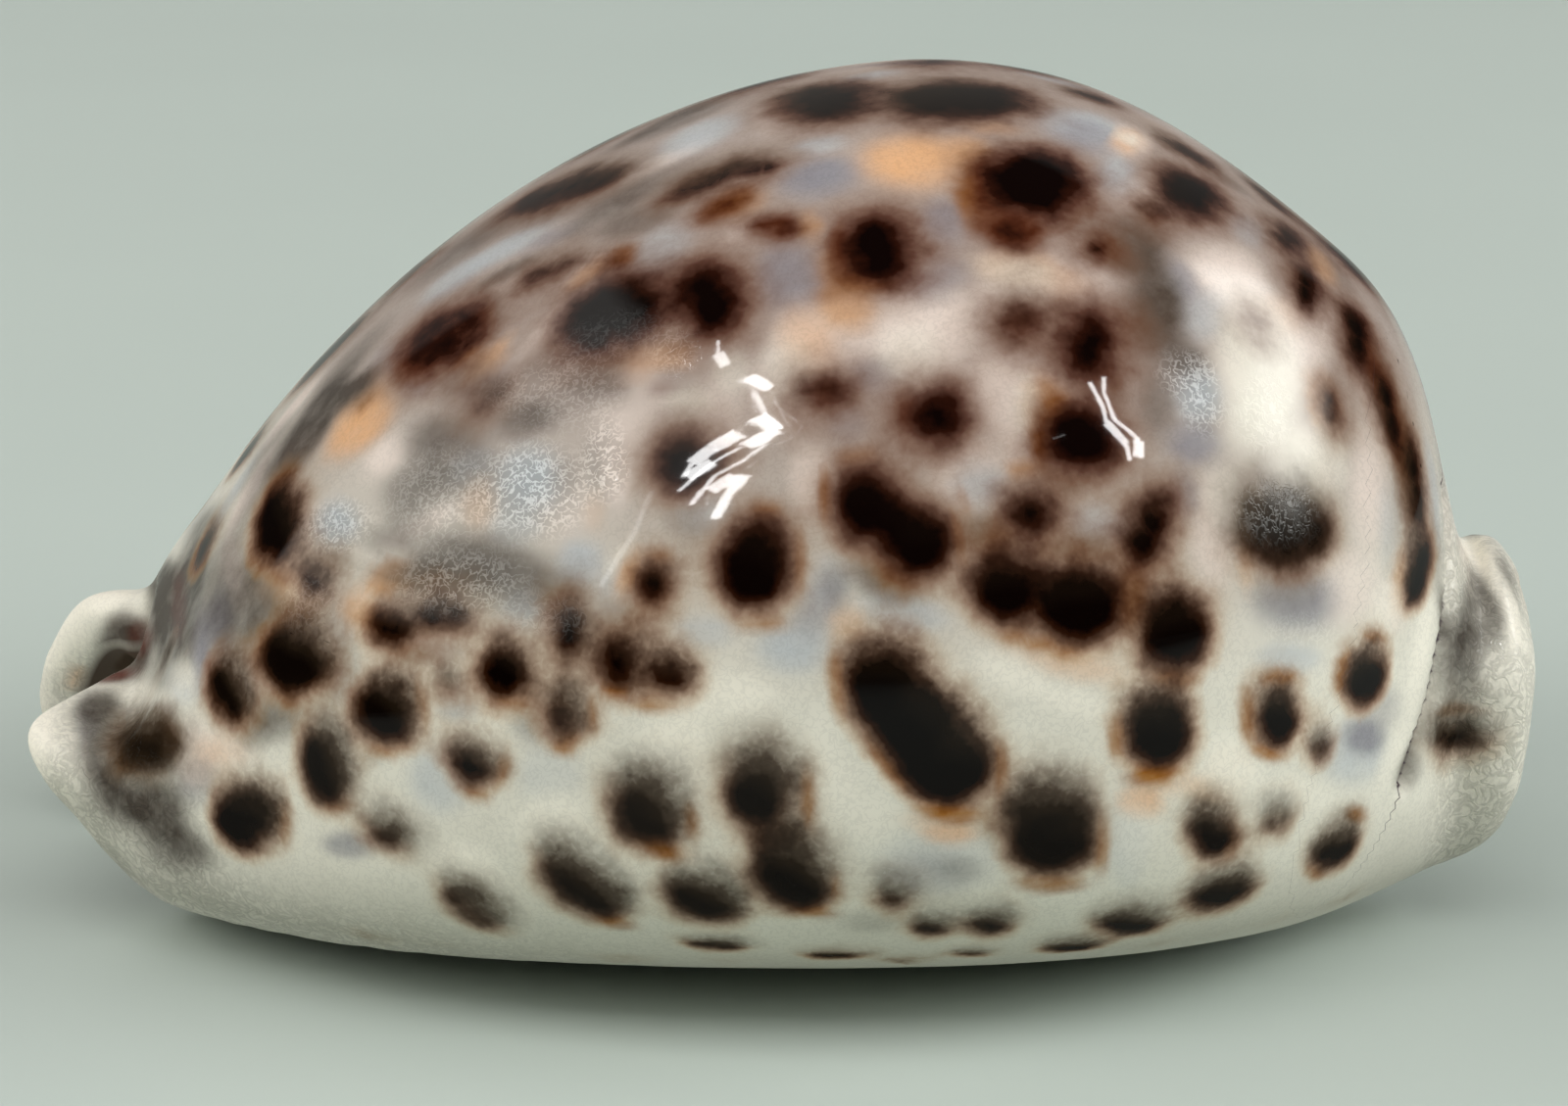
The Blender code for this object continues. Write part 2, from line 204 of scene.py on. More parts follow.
OUTSIDE = form(FRONT, BACK, SLIT_Y, CREST_Z, BASE_Z, WAIST_Z, NEAR_Y, FAR_Y)
HOLLOW = form(HOLLOW_FRONT, HOLLOW_BACK, HOLLOW_SLIT_Y, HOLLOW_CREST_Z, HOLLOW_BASE_Z, HOLLOW_WAIST_Z,
              HOLLOW_NEAR_Y, HOLLOW_FAR_Y)

FRONT_REACH, BACK_REACH = tan(radians(SLIT_FRONT_ANGLE / 2)), tan(radians(SLIT_BACK_ANGLE / 2))
SLIT_MIDDLE, SLIT_LONG = (BACK_REACH - FRONT_REACH) / 2, (BACK_REACH + FRONT_REACH) / 2
half_width = spline(SLIT_HALF)
TOP_POINT = np.array([0.0, 0.0, 1.0])


def ball_points(away, turn):
    """The unit ball's point a distance away from the slit (in the plan) and a turn round it.

    The plan is the ball seen from its top point: the slit lies across its middle as a long
    blunt oval, and the ovals round it grow into circles.
    """
    away, turn = np.broadcast_arrays(np.asarray(away, float), np.asarray(turn, float))
    c = np.cos(turn)
    u = SLIT_MIDDLE + (SLIT_LONG + away) * c
    blunt = 2 + SLIT_SQUARE * np.exp(-away / SLIT_SQUARE_REACH)
    bulge = np.maximum(1 - np.abs(c) ** blunt, 0) ** (1 / blunt) * np.sign(np.sin(turn))
    v = (half_width(SLIT_MIDDLE + SLIT_LONG * c) + away) * bulge
    k = u * u + v * v
    return np.stack([2 * u / (1 + k), 2 * v / (1 + k), (k - 1) / (1 + k)], -1)


def slit_turn(x):
    """The turn round the slit at a place along it."""
    u = np.tan(np.arcsin(x / BACK) / 2)
    return np.arccos((u - SLIT_MIDDLE) / SLIT_LONG)


def columns(fine):
    """Turns round the whole slit, with this many columns to a tooth."""
    teeth = slit_turn(np.linspace(TOOTH_BACK, TOOTH_FRONT, TEETH * fine + 1))
    ease = 1 - (1 - np.linspace(0, 1, TIP_STEPS * fine + 1)[:-1]) ** TIP_BUNCH
    back_tip = teeth[0] * ease
    front_tip = pi - (pi - teeth[-1]) * ease[::-1]
    far_side = np.concatenate([back_tip, teeth, front_tip])
    return np.concatenate([far_side, -far_side[-2:0:-1]])


def tooth_ridge(turns):
    """How tall the tooth is at each turn: 1 on a tooth, 0 between two."""
    u = SLIT_MIDDLE + SLIT_LONG * np.cos(turns)
    x = BACK * 2 * u / (1 + u * u)
    phase = 2 * pi * TEETH * (x - TOOTH_FRONT) / (TOOTH_BACK - TOOTH_FRONT)
    inside = np.clip(np.minimum(x - TOOTH_FRONT, TOOTH_BACK - x) / TOOTH_FADE, 0, 1)
    return inside * (0.5 - 0.5 * np.cos(phase))


def ring_climbs(count):
    return 180 * (np.arange(count) / count) ** RING_BUNCH


def pushed(points):
    """The points moved with the places where the form is pushed out of or into the even shape."""
    return points + sum(np.exp(-(((points - centre) / span) ** 2).sum(-1, keepdims=True)) * push
                        for centre, span, push in np.array(PUSHES))


def length(vectors):
    return np.linalg.norm(vectors, axis=-1, keepdims=True)


def unit(vectors):
    return vectors / np.maximum(length(vectors), 1e-9)


def sheet(lay, climbs, turns):
    """Points on a form, the way that leads away from the slit there, and the way out."""
    away, turn = np.meshgrid(np.tan(np.radians(climbs) / 2), turns, indexing="ij")
    small = 0.004
    points = lay(ball_points(away, turn))
    leave = lay(ball_points(away + small * (1 + away), turn)) - points
    along = lay(ball_points(away, turn + small)) - lay(ball_points(away, turn - small))
    return points, unit(leave), unit(np.cross(along, leave))


def outside_rings(climbs, turns):
    """Rings over the outside, from the slit's rounded edge to the ring next to the top."""
    points, _, out = sheet(OUTSIDE, climbs, turns)
    steps = length(np.diff(points, axis=0))
    walked = np.concatenate([np.zeros_like(steps[:1]), np.cumsum(steps, axis=0)])
    short = np.clip(1 - walked / LIP_ROUND, 0, 1)
    ridge = tooth_ridge(turns)[:, None] * np.clip(1 - walked / TOOTH_WALK, 0, 1)
    points = pushed(points + out * (TOOTH_RISE * ridge - LIP_ROUND * (1 - np.sqrt(1 - short ** 2))))
    points[..., 2] = np.maximum(points[..., 2], 0)
    return points


def lip_rings(count, turns):
    """Rings down the slit's wall, from its rounded edge to the hollow."""
    start, leave_start, out = sheet(OUTSIDE, np.zeros(1), turns)
    stop, leave_stop, _ = sheet(HOLLOW, np.zeros(1), turns)
    ridge = tooth_ridge(turns)[:, None]
    start = start - out * (LIP_ROUND - TOOTH_RISE * ridge)
    q = np.linspace(0, 1, count + 2)[1:-1, None, None]
    gap = length(stop - start)
    wall = ((1 + 2 * q) * (1 - q) ** 2 * start + q * q * (3 - 2 * q) * stop - q * (1 - q) ** 2
            * LIP_OUTER_PULL * gap * out + q * q * (q - 1) * LIP_INNER_PULL * gap * leave_stop)
    return pushed(wall - leave_start * TOOTH_HEIGHT * ridge * np.sin(pi * q) ** 0.7)


# ---------------------------------------------------------------- the drawing plane

SIGHT_TILT = 17.0                       # degrees down, along the line of sight from the columellar side
SIGHT_MIDDLE = (1.06, 0.0, 19.85)       # the middle of the drawing
SIGHT_DISTANCE = 255.0

# Spots: (across, up, wide, tall, softness, depth, veil, tilt if turned). Softness widens the edge,
# depth is how far the middle gets towards black, and veil is how much pale glaze lies over the spot.
SPOTS = [
    (2.4, 25.8, 6.4, 2.5, 1.6, 1.2, 0.6, 6), (10, 25.9, 9.4, 2.6, 1.6, 1.4, 0.6),
    (14.2, 21.2, 7.2, 4.4, 1.3, 2.8, 0, -10), (5.3, 17.4, 5.4, 4.7, 1.4, 2.6, 0),
    (-4.4, 14.5, 5, 5, 1.4, 2.2, 0, -20), (-10, 13.6, 7.6, 4.6, 1.4, 1.3, 0.1, 24),
    (-19.4, 12.2, 6.4, 3.2, 1.5, 0.7, 0, 36), (-12.6, 20.7, 8, 1.7, 1.4, 0.8, 0.6, 20),
    (-3.6, 21.4, 7, 1.3, 1.3, 0.6, 0.6, 22), (-1.2, 21.8, 2.6, 0.5, 1, 0.9, 0.1, 14),
    (13.4, 13.3, 3, 2.8, 1.5, 0.4, 0.2), (17.5, 12, 4.4, 4.6, 1.6, 1.7, 0),
    (23.2, 20.5, 5, 2.6, 1.3, 1.4, 0.2, -32), (29.7, 15.1, 1.7, 3.1, 1.3, 1.2, 0.2, 15),
    (32.6, 12.3, 1.9, 4.8, 1.3, 1.3, 0.2, 18), (31.2, 8.2, 1.2, 3, 1.3, 0.6, 0.4, 14),
    (2.3, 9.1, 3.4, 2.2, 1.6, 0.5, 0.1, 8), (8.6, 7.9, 4.4, 4.2, 1.4, 1.8, 0),
    (16.9, 6.5, 5.4, 4.8, 1.1, 2.4, 0, -20), (-5.6, 5.2, 4.8, 4, 1.2, 1.4, 0.2, 15),
    (4.6, 2.9, 4.6, 4.7, 1.05, 2.6, 0), (7.6, 0.5, 4.6, 4.9, 1.05, 2.6, 0),
    (6, 1.8, 3.4, 3.4, 1, 2.2, 0), (-1.6, -0.6, 4.9, 5.9, 1.05, 2.6, 0),
    (-7.3, -1.8, 2.7, 2.8, 1.2, 1.6, 0.1), (12.6, -2, 4.8, 4.8, 1.05, 2.6, 0),
    (16.8, -2.8, 6, 5.4, 1.1, 2.6, 0), (14.1, 2.3, 3.6, 3.4, 1.4, 1.1, 0.1),
    (20.7, 1.3, 3.2, 5.4, 1.4, 1.5, 0.1, -25), (22.3, -4.4, 4.7, 5.2, 1.15, 2.4, 0),
    (28.5, 1.4, 6, 5.4, 1.3, 0.9, 1), (-28.8, 1.8, 3, 5.4, 1.3, 1.4, 0.1, -14),
    (36.1, -0.9, 1.5, 4.8, 1.2, 1.6, 0.1, -10), (-15.8, -6.6, 3.6, 4, 1.1, 2, 0, 10),
    (-12.1, -4.4, 2.6, 3.6, 1.4, 0.9, 0.3), (-9.3, -5.9, 2.8, 3.8, 1.3, 0.7, 0, 10),
    (-6.6, -6.9, 3.4, 2.9, 1.2, 0.7, 0, -8), (-12.5, -9.2, 2.7, 3.2, 1.2, 0.6, 0.3),
    (-22.7, -8.9, 3.8, 4.6, 1.1, 1.8, 0.2, 15), (-27.8, -5.9, 4.6, 4.8, 1.2, 1.9, 0.3),
    (-22.2, -4.2, 3.2, 2.9, 1.3, 1.4, 0.1), (-19.4, -3.5, 3.6, 2, 1.4, 1.2, 0.3),
    (-31.6, -7.8, 2.6, 4.3, 1.2, 1.2, 0.4, 12), (-26.2, -12, 3.1, 5.4, 1.1, 1.3, 0.6, 10),
    (-17.7, -12, 3.4, 2.8, 1.1, 1, 0.3, -30), (-19.1, -7.4, 1.3, 1.4, 1.3, 0.2, 0.7),
    (-30.6, -15, 4, 4.4, 1.2, 2, 0.3), (-22.7, -15.9, 2.7, 2, 1.3, 0.5, 0.9, -25),
    (-36.2, -10.9, 4.2, 3.6, 1, 1.6, 2.2), (-7.8, -14.6, 5.2, 4.4, 1.3, 1, 0.8, -55),
    (-1.4, -13.4, 4.8, 5.2, 1.2, 1.4, 0.5), (0.5, -18.5, 5.2, 4, 1.1, 1.5, 0.5, -25),
    (-0.4, -16.2, 3, 2.6, 1.2, 0.5, 0.5), (-11.6, -18.9, 6, 3.2, 1.2, 0.9, 0.9, -33),
    (-17.6, -20.2, 4, 2, 1.2, 0.4, 1, -33), (-4.6, -19.7, 4.9, 3, 1.2, 1, 0.8, -20),
    (-3.9, -22.3, 3.6, 0.6, 1, 0.6, 0.6, -5), (5.7, -7.3, 5.6, 5.4, 1.1, 2.4, 0),
    (7.6, -9.6, 6.6, 5.6, 1.1, 2.4, 0, -50), (9.4, -11.8, 6, 5.8, 1.1, 2, 0.1),
    (15.2, -15.8, 5.8, 6, 1.2, 1.7, 0.5), (21.3, -10, 4.5, 5, 1.15, 1.9, 0.1),
    (28.1, -9.2, 3.1, 3.9, 1.1, 1.9, 0.1), (33.1, -6.9, 2.6, 4.1, 1.1, 1.9, 0.1, -12),
    (30.5, -11, 1.3, 1.6, 1.2, 0.3, 0.6), (24.3, -15.9, 3.1, 3.5, 1.2, 1.1, 0.4),
    (28.1, -15.2, 1.5, 1.8, 1.3, 0.2, 0.8, -20), (24.9, -19.3, 4.2, 2.3, 1.2, 1, 0.6, 20),
    (31.4, -16.8, 3.7, 2.2, 1.1, 1.4, 0.5, 48), (37.7, -10.3, 2, 3, 1.5, 0.9, 0.9, -15),
    (6.1, -19.6, 2, 1.5, 1.2, 0.6, 0.7), (8.3, -21.3, 2.2, 1.1, 1.2, 0.7, 0.7),
    (11.7, -21.1, 2.7, 1.3, 1.2, 0.7, 0.7), (10.6, -22.8, 2, 0.4, 1, 0.6, 0.6),
    (19.7, -21.1, 4.2, 1.5, 1.2, 0.9, 0.6, 3), (16.4, -22.4, 3.4, 0.8, 1.1, 0.9, 0.6, 5),
    (3, -22.9, 3.4, 0.5, 1, 0.9, 0.4), (21.2, 19.4, 2, 1.1, 1.4, 0.4, 0.5, -15),
    (-13.4, 16, 4, 1, 1.3, 0.8, 0.4, 24), (-17, 8.8, 2, 1.3, 1.4, 0.4, 0.6, 30),
    (-26.7, -1.4, 2.4, 2.6, 1.4, 0.9, 0.3), (28.6, 17.9, 3, 1.4, 1.3, 1.1, 0.3, -40),
    (17.9, 17.4, 1.3, 2, 1.3, 0.7, 0.2, -20), (22.9, 22.9, 4.2, 0.9, 1.3, 0.7, 0.6, -30),
    (27.7, 20.1, 3, 0.7, 1.2, 0.7, 0.6, -42), (17.4, 26, 3.4, 0.6, 1.2, 0.7, 0.5, -18),
    (-9.5, 16.6, 1.3, 1, 1.2, 0, 0, 20), (26.9, 13, 0.9, 1.3, 1.3, -0.4, 0, 20),
    (-0.5, 18.6, 3.2, 1.2, 1, 0.4, 0, 2), (-3.4, 19.8, 3.2, 1.1, 1, 0, 0, 27),
    (13, 18.3, 2.8, 1.8, 1.2, 0.5, 0, -5), (34.4, 8.2, 1.3, 5.4, 1.4, 1, 0.3, 14),
    (35.9, 4, 1.3, 6, 1.4, 1, 0.4, 7), (-33, 0.4, 3.2, 0.9, 1.3, 0.9, 0.3, 66),
]

# Tints in the ground, under the glaze: (across, up, wide, tall, strength, tilt if turned).
TINTS = {
    "blush": [      # light pinkish cream
        (7.4, 12.4, 6.6, 6.4, 1), (1, 12.2, 4, 4.6, 0.9, 10), (12.4, 9.2, 4.6, 5.4, 1),
        (15.6, 15.6, 5.6, 2.4, 0.8, -6), (1.6, 4.2, 3, 4.6, 0.8), (10.6, 4.6, 5, 3.6, 0.9, 30),
        (25.4, 15.6, 6, 4.4, 1, -38), (28.6, 11.4, 5.4, 6.4, 1), (33.4, 4, 2.6, 8.4, 0.8),
        (-8.6, 7.2, 3, 3, 0.6), (-9.5, 4.6, 2, 4.4, 0.9), (-13.2, 13, 6.4, 1.2, 0.9, 46),
        (-6.8, 22.4, 6.4, 0.9, 0.7, 25), (-11.4, 16, 3.4, 0.9, 0.8, 38),
        (-30.4, 3.6, 6.4, 0.8, 0.9, 62), (-28, 8.2, 6.4, 0.8, 0.9, 52),
        (-24.4, 12.9, 5.6, 0.7, 0.7, 46), (-0.9, 24.9, 2, 2.4, 0.4), (-31.4, -1, 1.6, 5, 0.8, 10),
        (32, -2, 4.6, 5, 0.7), (-2.6, 18.2, 2.6, 1, 0.5, 20), (3.4, 11.6, 3.4, 3, 0.8),
        (24.4, 1, 3, 7, 0.8), (19.8, 20.4, 2.4, 3, 0.6), (-3.6, 7.6, 3, 5.4, 0.5),
        (-8.8, 11, 3.6, 2.4, 0.5), (18.6, 0.9, 3, 2, 0.3), (-26.6, 2, 2, 2, 0.4),
        (33, 9.6, 1, 5, 0.5, 16), (-20.6, 1.6, 6, 1.4, 0.6, 30), (-32, -11.2, 4.4, 2.8, 0.5, -10),
        (-16.2, 15.1, 6.4, 0.8, 0.4, 36), (9, 13.4, 5.6, 4.6, 0.9), (13.4, 7.4, 2.4, 6.4, 0.8),
        (3, 11.2, 5.4, 3, 0.7), (17.4, 15.4, 2.8, 2.4, 0.7), (19.8, 23.5, 2.6, 2.2, 1),
        (-9.6, 6.4, 3, 5.4, 0.5, 15), (-22.6, 5.6, 3.4, 2, 0.8, 40), (-12.6, 3, 4.4, 5, 0.5),
        (-33.6, -11.4, 2.6, 4.4, 0.7), (0, 9.6, 4.6, 5.4, 0.6), (14.2, 8.4, 2.4, 4.4, 0.5),
        (13.8, 16.4, 5.4, 3, 0.5), (-7.6, 9, 3, 3, 0.4), (29.6, 4.8, 3.4, 6, 0.7),
        (27.6, 10.6, 5.4, 5, 0.6), (30.4, 13.4, 2.6, 4.6, 0.7, 20), (7.4, 11.4, 5, 4, 0.6),
        (34.6, -3, 2, 3, 0.6), (15.2, 9.4, 2.4, 2.4, 0.8), (30, 13, 2, 4, 0.6, 20),
        (12, 14.6, 2.6, 2.2, 0.8), (31.2, 7.6, 1.4, 3, 0.3),
    ],
    "mist": [      # light blue-grey
        (-4.8, 23.8, 5.4, 1.7, 0.8, 22), (2, 23.3, 3.4, 1, 0.8, 10), (-7, 17.3, 4.6, 2.6, 0.7, 32),
        (17, 24.3, 5.4, 2, 1, -12), (18.9, 21.6, 2.4, 2.6, 0.9), (24, 13.6, 3, 3.4, 0.6, -35),
        (11.2, 3.9, 4, 2.8, 0.8), (17.9, 1.6, 3.6, 2.4, 0.8), (-25.6, 1.7, 3, 2.8, 1, 20),
        (-15.8, 17.4, 6, 1.2, 0.8, 28), (-18.8, 15.6, 5, 1.3, 0.7, 36), (-14.6, 4.2, 4.2, 4.2, 0.9),
        (-15.4, 1.6, 3.4, 2.4, 0.5), (-11.6, -0.6, 3, 3, 0.9), (23.6, 9, 3.2, 3.6, 0.8),
        (-4.6, 2.4, 3.4, 2.4, 0.7), (26.4, 18.4, 2.6, 1.6, 0.6, -40), (-17.8, 5, 3, 2, 0.5, 25),
        (6.9, -3.4, 5.6, 2.4, 0.8, -10), (0.6, -5.4, 5, 3.4, 0.8), (-14.6, -3.2, 3.4, 2.4, 0.8),
        (-19.6, -12.8, 4, 4.4, 0.7), (32.4, -11.4, 4.4, 4, 0.7), (28.8, -6, 4, 2, 0.7),
        (-9.8, -2.4, 2.4, 4, 0.6), (-25, -7.4, 2, 3, 0.5), (34.6, 2, 1.6, 6, 0.4),
        (36.9, 3.4, 0.8, 6.4, 0.8, 5), (5, 27.2, 3.4, 0.7, 0.8, 10), (15.4, 26.9, 4, 0.6, 0.8, -16),
        (2.6, -1.6, 2.6, 3.4, 0.5), (-4.6, -4.4, 4, 2, 0.6), (-31.6, 3, 7, 0.7, 0.6, 60),
        (9, -17.4, 8, 4, 0.4), (19.6, -16.4, 2.6, 6, 0.5), (-13.4, -12.6, 4.4, 3.4, 0.4),
        (-34.4, -7.4, 1.6, 3, 0.6, 20),
    ],
    "cloud": [      # lavender grey
        (1.8, 21.2, 4.6, 2.2, 0.9, 10), (0, 16.2, 3.6, 3.6, 0.9), (9, 19.2, 2.4, 2.4, 0.9),
        (8.6, 15.6, 4.4, 2.8, 0.7, 20), (5.2, 10.2, 3.4, 2.4, 0.8), (22.7, 15.4, 2, 3.4, 0.7, 30),
        (1.9, -3, 3, 4.4, 0.6, -30), (23.4, 6.2, 3.6, 2.6, 0.9), (29.2, -2.6, 5.4, 4.4, 0.85),
        (-32, -3.8, 1.8, 4, 1, 5), (-13.2, 18, 4, 1, 0.5, 25), (-18.6, -8.6, 2.8, 2.4, 0.6),
        (-24.6, -16.6, 3.6, 1.8, 0.8), (-20, -5.4, 4.4, 2, 0.6), (-25.2, -3.8, 1.8, 4.6, 0.5),
        (-17, 9.6, 3.4, 2, 0.5, 30), (20.2, -1.4, 1.6, 1.6, 0.5), (22.8, 3.2, 1.8, 3, 0.8),
        (-22.4, 11, 3, 2, 0.5, 36), (34, -8.8, 2.4, 3, 0.5, -20), (7.4, 27.9, 7.4, 0.5, 0.8),
        (-10.2, -7.2, 2, 4, 0.3), (-13.8, -9.8, 3, 3, 0.4), (3.6, 7.4, 2.6, 2.6, 0.5),
        (33, -10.4, 2.8, 2.6, 0.9), (-33.4, -13, 3, 3, 0.6), (8, -18.4, 6, 3, 0.4),
        (0.6, 15.4, 4.6, 4.6, 0.8), (2.2, 21.6, 5.4, 2.2, 0.9, 6), (17, 23.8, 4.6, 2.4, 0.7, -12),
        (9.2, 18.6, 3.4, 2.6, 0.7), (-20.8, 9.6, 2.4, 1.6, 0.6, 20), (-33.2, -5.4, 1.6, 6.4, 0.8),
        (-32.4, -5.4, 2.4, 8, 0.6), (-39.6, -9.6, 1.6, 3, 0.5), (-30, -6, 2.4, 6, 0.4),
    ],
    "amber": [      # peach
        (7.4, 22.4, 6.6, 3.6, 1), (10.4, 22.9, 3, 2, 0.8), (3.6, 14, 3.8, 3, 0.8),
        (13.4, 16.3, 4.8, 2.2, 0.8, -4), (19.6, 23.5, 2, 1.6, 0.8), (1, 12.6, 3.4, 4, 0.4),
        (-11.2, 15.9, 3, 0.9, 0.7, 36), (1.5, 18.6, 1.8, 1.4, 0.8), (-24, 7.2, 5, 2.4, 0.8, 44),
        (-22.4, -1.4, 3.2, 1.7, 1, 28), (-24.2, -3.2, 2.4, 2.6, 0.6, 30),
        (-16.8, 11.2, 3.6, 0.9, 0.8, 42), (14.4, 8.6, 2, 3.4, 0.9, -10), (28, 13.4, 3.4, 2.8, 0.4),
        (30.6, 16.4, 1.2, 2.8, 0.8, 34), (-17.4, 2.8, 2.2, 3.6, 0.3), (-8.4, 11, 3.6, 2, 0.6),
        (16.6, -6.6, 7, 1.8, 0.25, -10), (-29, -2, 3, 2.2, 0.5), (-32.2, -11.2, 3.6, 1.8, 0.3, -10),
        (-8.9, -1.2, 1.4, 3, 0.7, -25), (-10.8, 2.4, 1.6, 2.4, 0.2), (13.4, 4.6, 2.6, 1, 0.7, 35),
        (30.2, 8.6, 1, 4, 0.7, 12), (26.3, -0.4, 1, 4, 0.4), (25.4, -12.2, 2.6, 2.4, 0.4),
        (20.4, -14.4, 3, 1.8, 0.5), (9.4, -16, 3.4, 1.4, 0.5), (3.6, -4, 2.4, 2.4, 0.4),
        (35, -1.6, 0.9, 4, 0.5, -8), (-40.4, -7, 1.4, 1.8, 0.5), (20.2, -14, 2.6, 1.8, 0.6),
        (-33, -12.2, 3.4, 2.6, 0.15), (1.6, 11.6, 3.6, 3.4, 0.4), (-6.4, 11.4, 3, 2, 0.6),
        (-17.6, 11.2, 2, 1.2, 0.6, 30), (15.8, 15.4, 3.4, 1.8, 0.4), (-22.6, -1.4, 3, 1.8, 0.6, 26),
        (11.8, 24.2, 3, 0.8, 0.5), (3.2, 16.4, 3, 2.6, 0.5), (11.6, 20.2, 2.4, 3, 0.5),
        (-2.2, 19.8, 3, 1.4, 0.5, 20), (15, 7.2, 2.2, 4, 0.5), (-24.2, 8.6, 4.4, 1.8, 0.6, 44),
        (31, 8.4, 1.2, 5, 0.5, 12), (-10.2, 14.4, 3.6, 1.2, 0.4, 30), (15.2, 8.4, 2.6, 3, 0.7),
        (-24.4, 7.4, 5.4, 2.2, 0.6, 46), (22, -13, 4, 2, 0.35), (9, -15.6, 5, 1.6, 0.35, -10),
        (-7, -16.8, 5, 1.6, 0.35, -20), (24.4, -13.4, 3, 2, 0.35), (16, -6, 8, 2, 0.3, -14),
        (3.8, 16.2, 3, 3, 0.4), (-17, 10.6, 3.4, 1.2, 0.5, 34),
    ],
    "rim": [      # burnt orange, mostly along one side of a spot
        (15.2, 8.6, 2, 2, 1), (14.5, 6.5, 1.2, 3.4, 0.9, 5), (4.8, 15.4, 3.4, 1.2, 0.7),
        (26.4, -9.2, 1.2, 3.8, 0.8), (28.2, -7.1, 3, 1.1, 0.8), (27.4, -11.4, 2.6, 1, 0.8, -15),
        (31.8, -6.6, 1, 3.4, 0.9, -10), (33.6, -4.7, 1.6, 0.9, 0.9), (20.9, -12.6, 3.6, 1.6, 1, 10),
        (18.9, -10.4, 1.2, 3.4, 0.8), (32.6, -14.9, 1.4, 1.2, 0.9), (30.2, -18.2, 1.2, 1, 0.6),
        (18.1, -16.8, 1, 4.4, 0.6), (15.2, -18.9, 4.6, 1.2, 0.8), (9.4, -14.8, 4.4, 1.5, 1, -8),
        (12.3, -12.2, 1, 3.6, 0.7), (3, -7.4, 1.2, 4.4, 0.7, 5), (6, -12.2, 1, 4.4, 0.7, 40),
        (-1.4, -3.9, 3.6, 1, 0.6), (0.9, -0.4, 0.9, 4, 0.5), (-1.2, 2.6, 3.4, 0.8, 0.6, -15),
        (2.3, 3.4, 0.9, 3.4, 0.8), (4.4, 5.4, 3, 0.9, 0.6), (9.9, 1, 0.9, 3.4, 0.5, 10),
        (-7, -16.8, 3, 1.2, 1, -30), (-5.3, -15.2, 1, 2.6, 0.8, 10), (1.4, -14, 1.1, 4, 0.9),
        (1.6, -20.3, 3.4, 1, 0.8, -10), (2.9, -19, 0.9, 1.8, 0.7), (-9.6, -21, 3, 0.9, 0.8, -15),
        (-7, -8.6, 3.4, 1.2, 1, -5), (-9.6, -7.9, 1.8, 1, 0.8), (-12.4, -10.9, 2.2, 1, 0.9),
        (-10.9, -9.2, 0.8, 2.4, 0.7), (-15.8, -8.6, 2.6, 0.9, 0.6), (-16, -12.4, 0.9, 2.4, 0.7, -15),
        (-17.4, -13.7, 2, 0.9, 0.6, -20), (-22.6, -11.3, 2.8, 0.9, 0.6),
        (-20.6, -8.6, 0.8, 3.4, 0.5, 10), (-28.4, -15.4, 1, 3, 0.6), (-7.2, -0.3, 2.2, 0.8, 0.6),
        (-34.6, -10.6, 1.2, 2.6, 0.3), (-24.4, 8.3, 3, 1, 0.8, 40), (-9.2, 16.9, 2, 1.2, 0.9, 20),
        (-3.2, 19.9, 4, 1.5, 1, 27), (30.4, 9.4, 0.8, 2.4, 0.6, 12), (10.4, 20.6, 1.8, 2.2, 0.8),
        (25.4, -16.4, 1.4, 3, 0.4), (38, -8.9, 2.2, 0.9, 0.7, 15), (14.4, -5.2, 5.4, 1, 0.7, -14),
        (-25.4, -14.4, 2.2, 1, 0.5), (22.2, -7, 3.2, 1, 0.5), (10.2, 3, 0.9, 2.4, 0.5, 20),
        (10.6, 20.4, 1.6, 4, 0.9), (-17.8, 11, 2.4, 1.2, 0.7, 30), (3.2, 15.2, 3.4, 1.6, 0.6, 20),
        (-38, -4.2, 1.8, 1.6, 0.4),
    ],
    "smoke_and_shade": [      # dark grey-brown; in and beside the front canal it is partly painted shade
        (-27.5, 6.4, 8, 2, 1, 57), (-24.4, 9.4, 4.6, 1.2, 1, 40), (-34.4, -2, 4, 1, 0.9, 62),
        (-12.6, 20.3, 11, 2.4, 0.6, 20), (-15.6, 16, 5.4, 0.9, 0.8, 26), (-20, -1.4, 8.4, 2.6, 0.9, -4),
        (-15, -1.4, 4.4, 3, 0.65), (-18.2, 10, 4.4, 2.2, 0.6, 35), (-19.6, 6.8, 5.4, 2.8, 0.6, 20),
        (-14.4, 7.8, 4.4, 2.4, 0.6, 10), (-11, 9.6, 4.4, 2.2, 0.55), (-17, 13.9, 2.4, 2.8, 0.55),
        (-21, 3.8, 5, 3, 0.55, 25), (-22.6, 0.8, 3.4, 1.8, 0.5), (-12.4, 4.4, 2, 2.4, 0.3),
        (-6.4, 24.7, 8.4, 0.9, 0.7, 26), (-4.8, 21.3, 6.4, 1.6, 0.5, 24), (19.6, 17.2, 4.4, 3, 1, -20),
        (20.9, 13.6, 4, 5.6, 0.9, -15), (21.2, 8.6, 2.6, 4.6, 0.6), (22.4, 11.2, 3.4, 2, 0.4),
        (6, -1.4, 5, 2.6, 0.7, -15), (11.6, 1, 4, 2.6, 0.8), (17, 0.2, 6.4, 2.2, 0.7),
        (19.8, -2.6, 2.4, 4.4, 0.9), (3, -1.8, 2, 3, 0.3), (16, 4, 3.4, 1.4, 0.6),
        (-38.4, -11.6, 3, 3, 0.6), (-35.4, -14.8, 2.6, 3.4, 0.6), (-28, -3.6, 4, 2, 0.8),
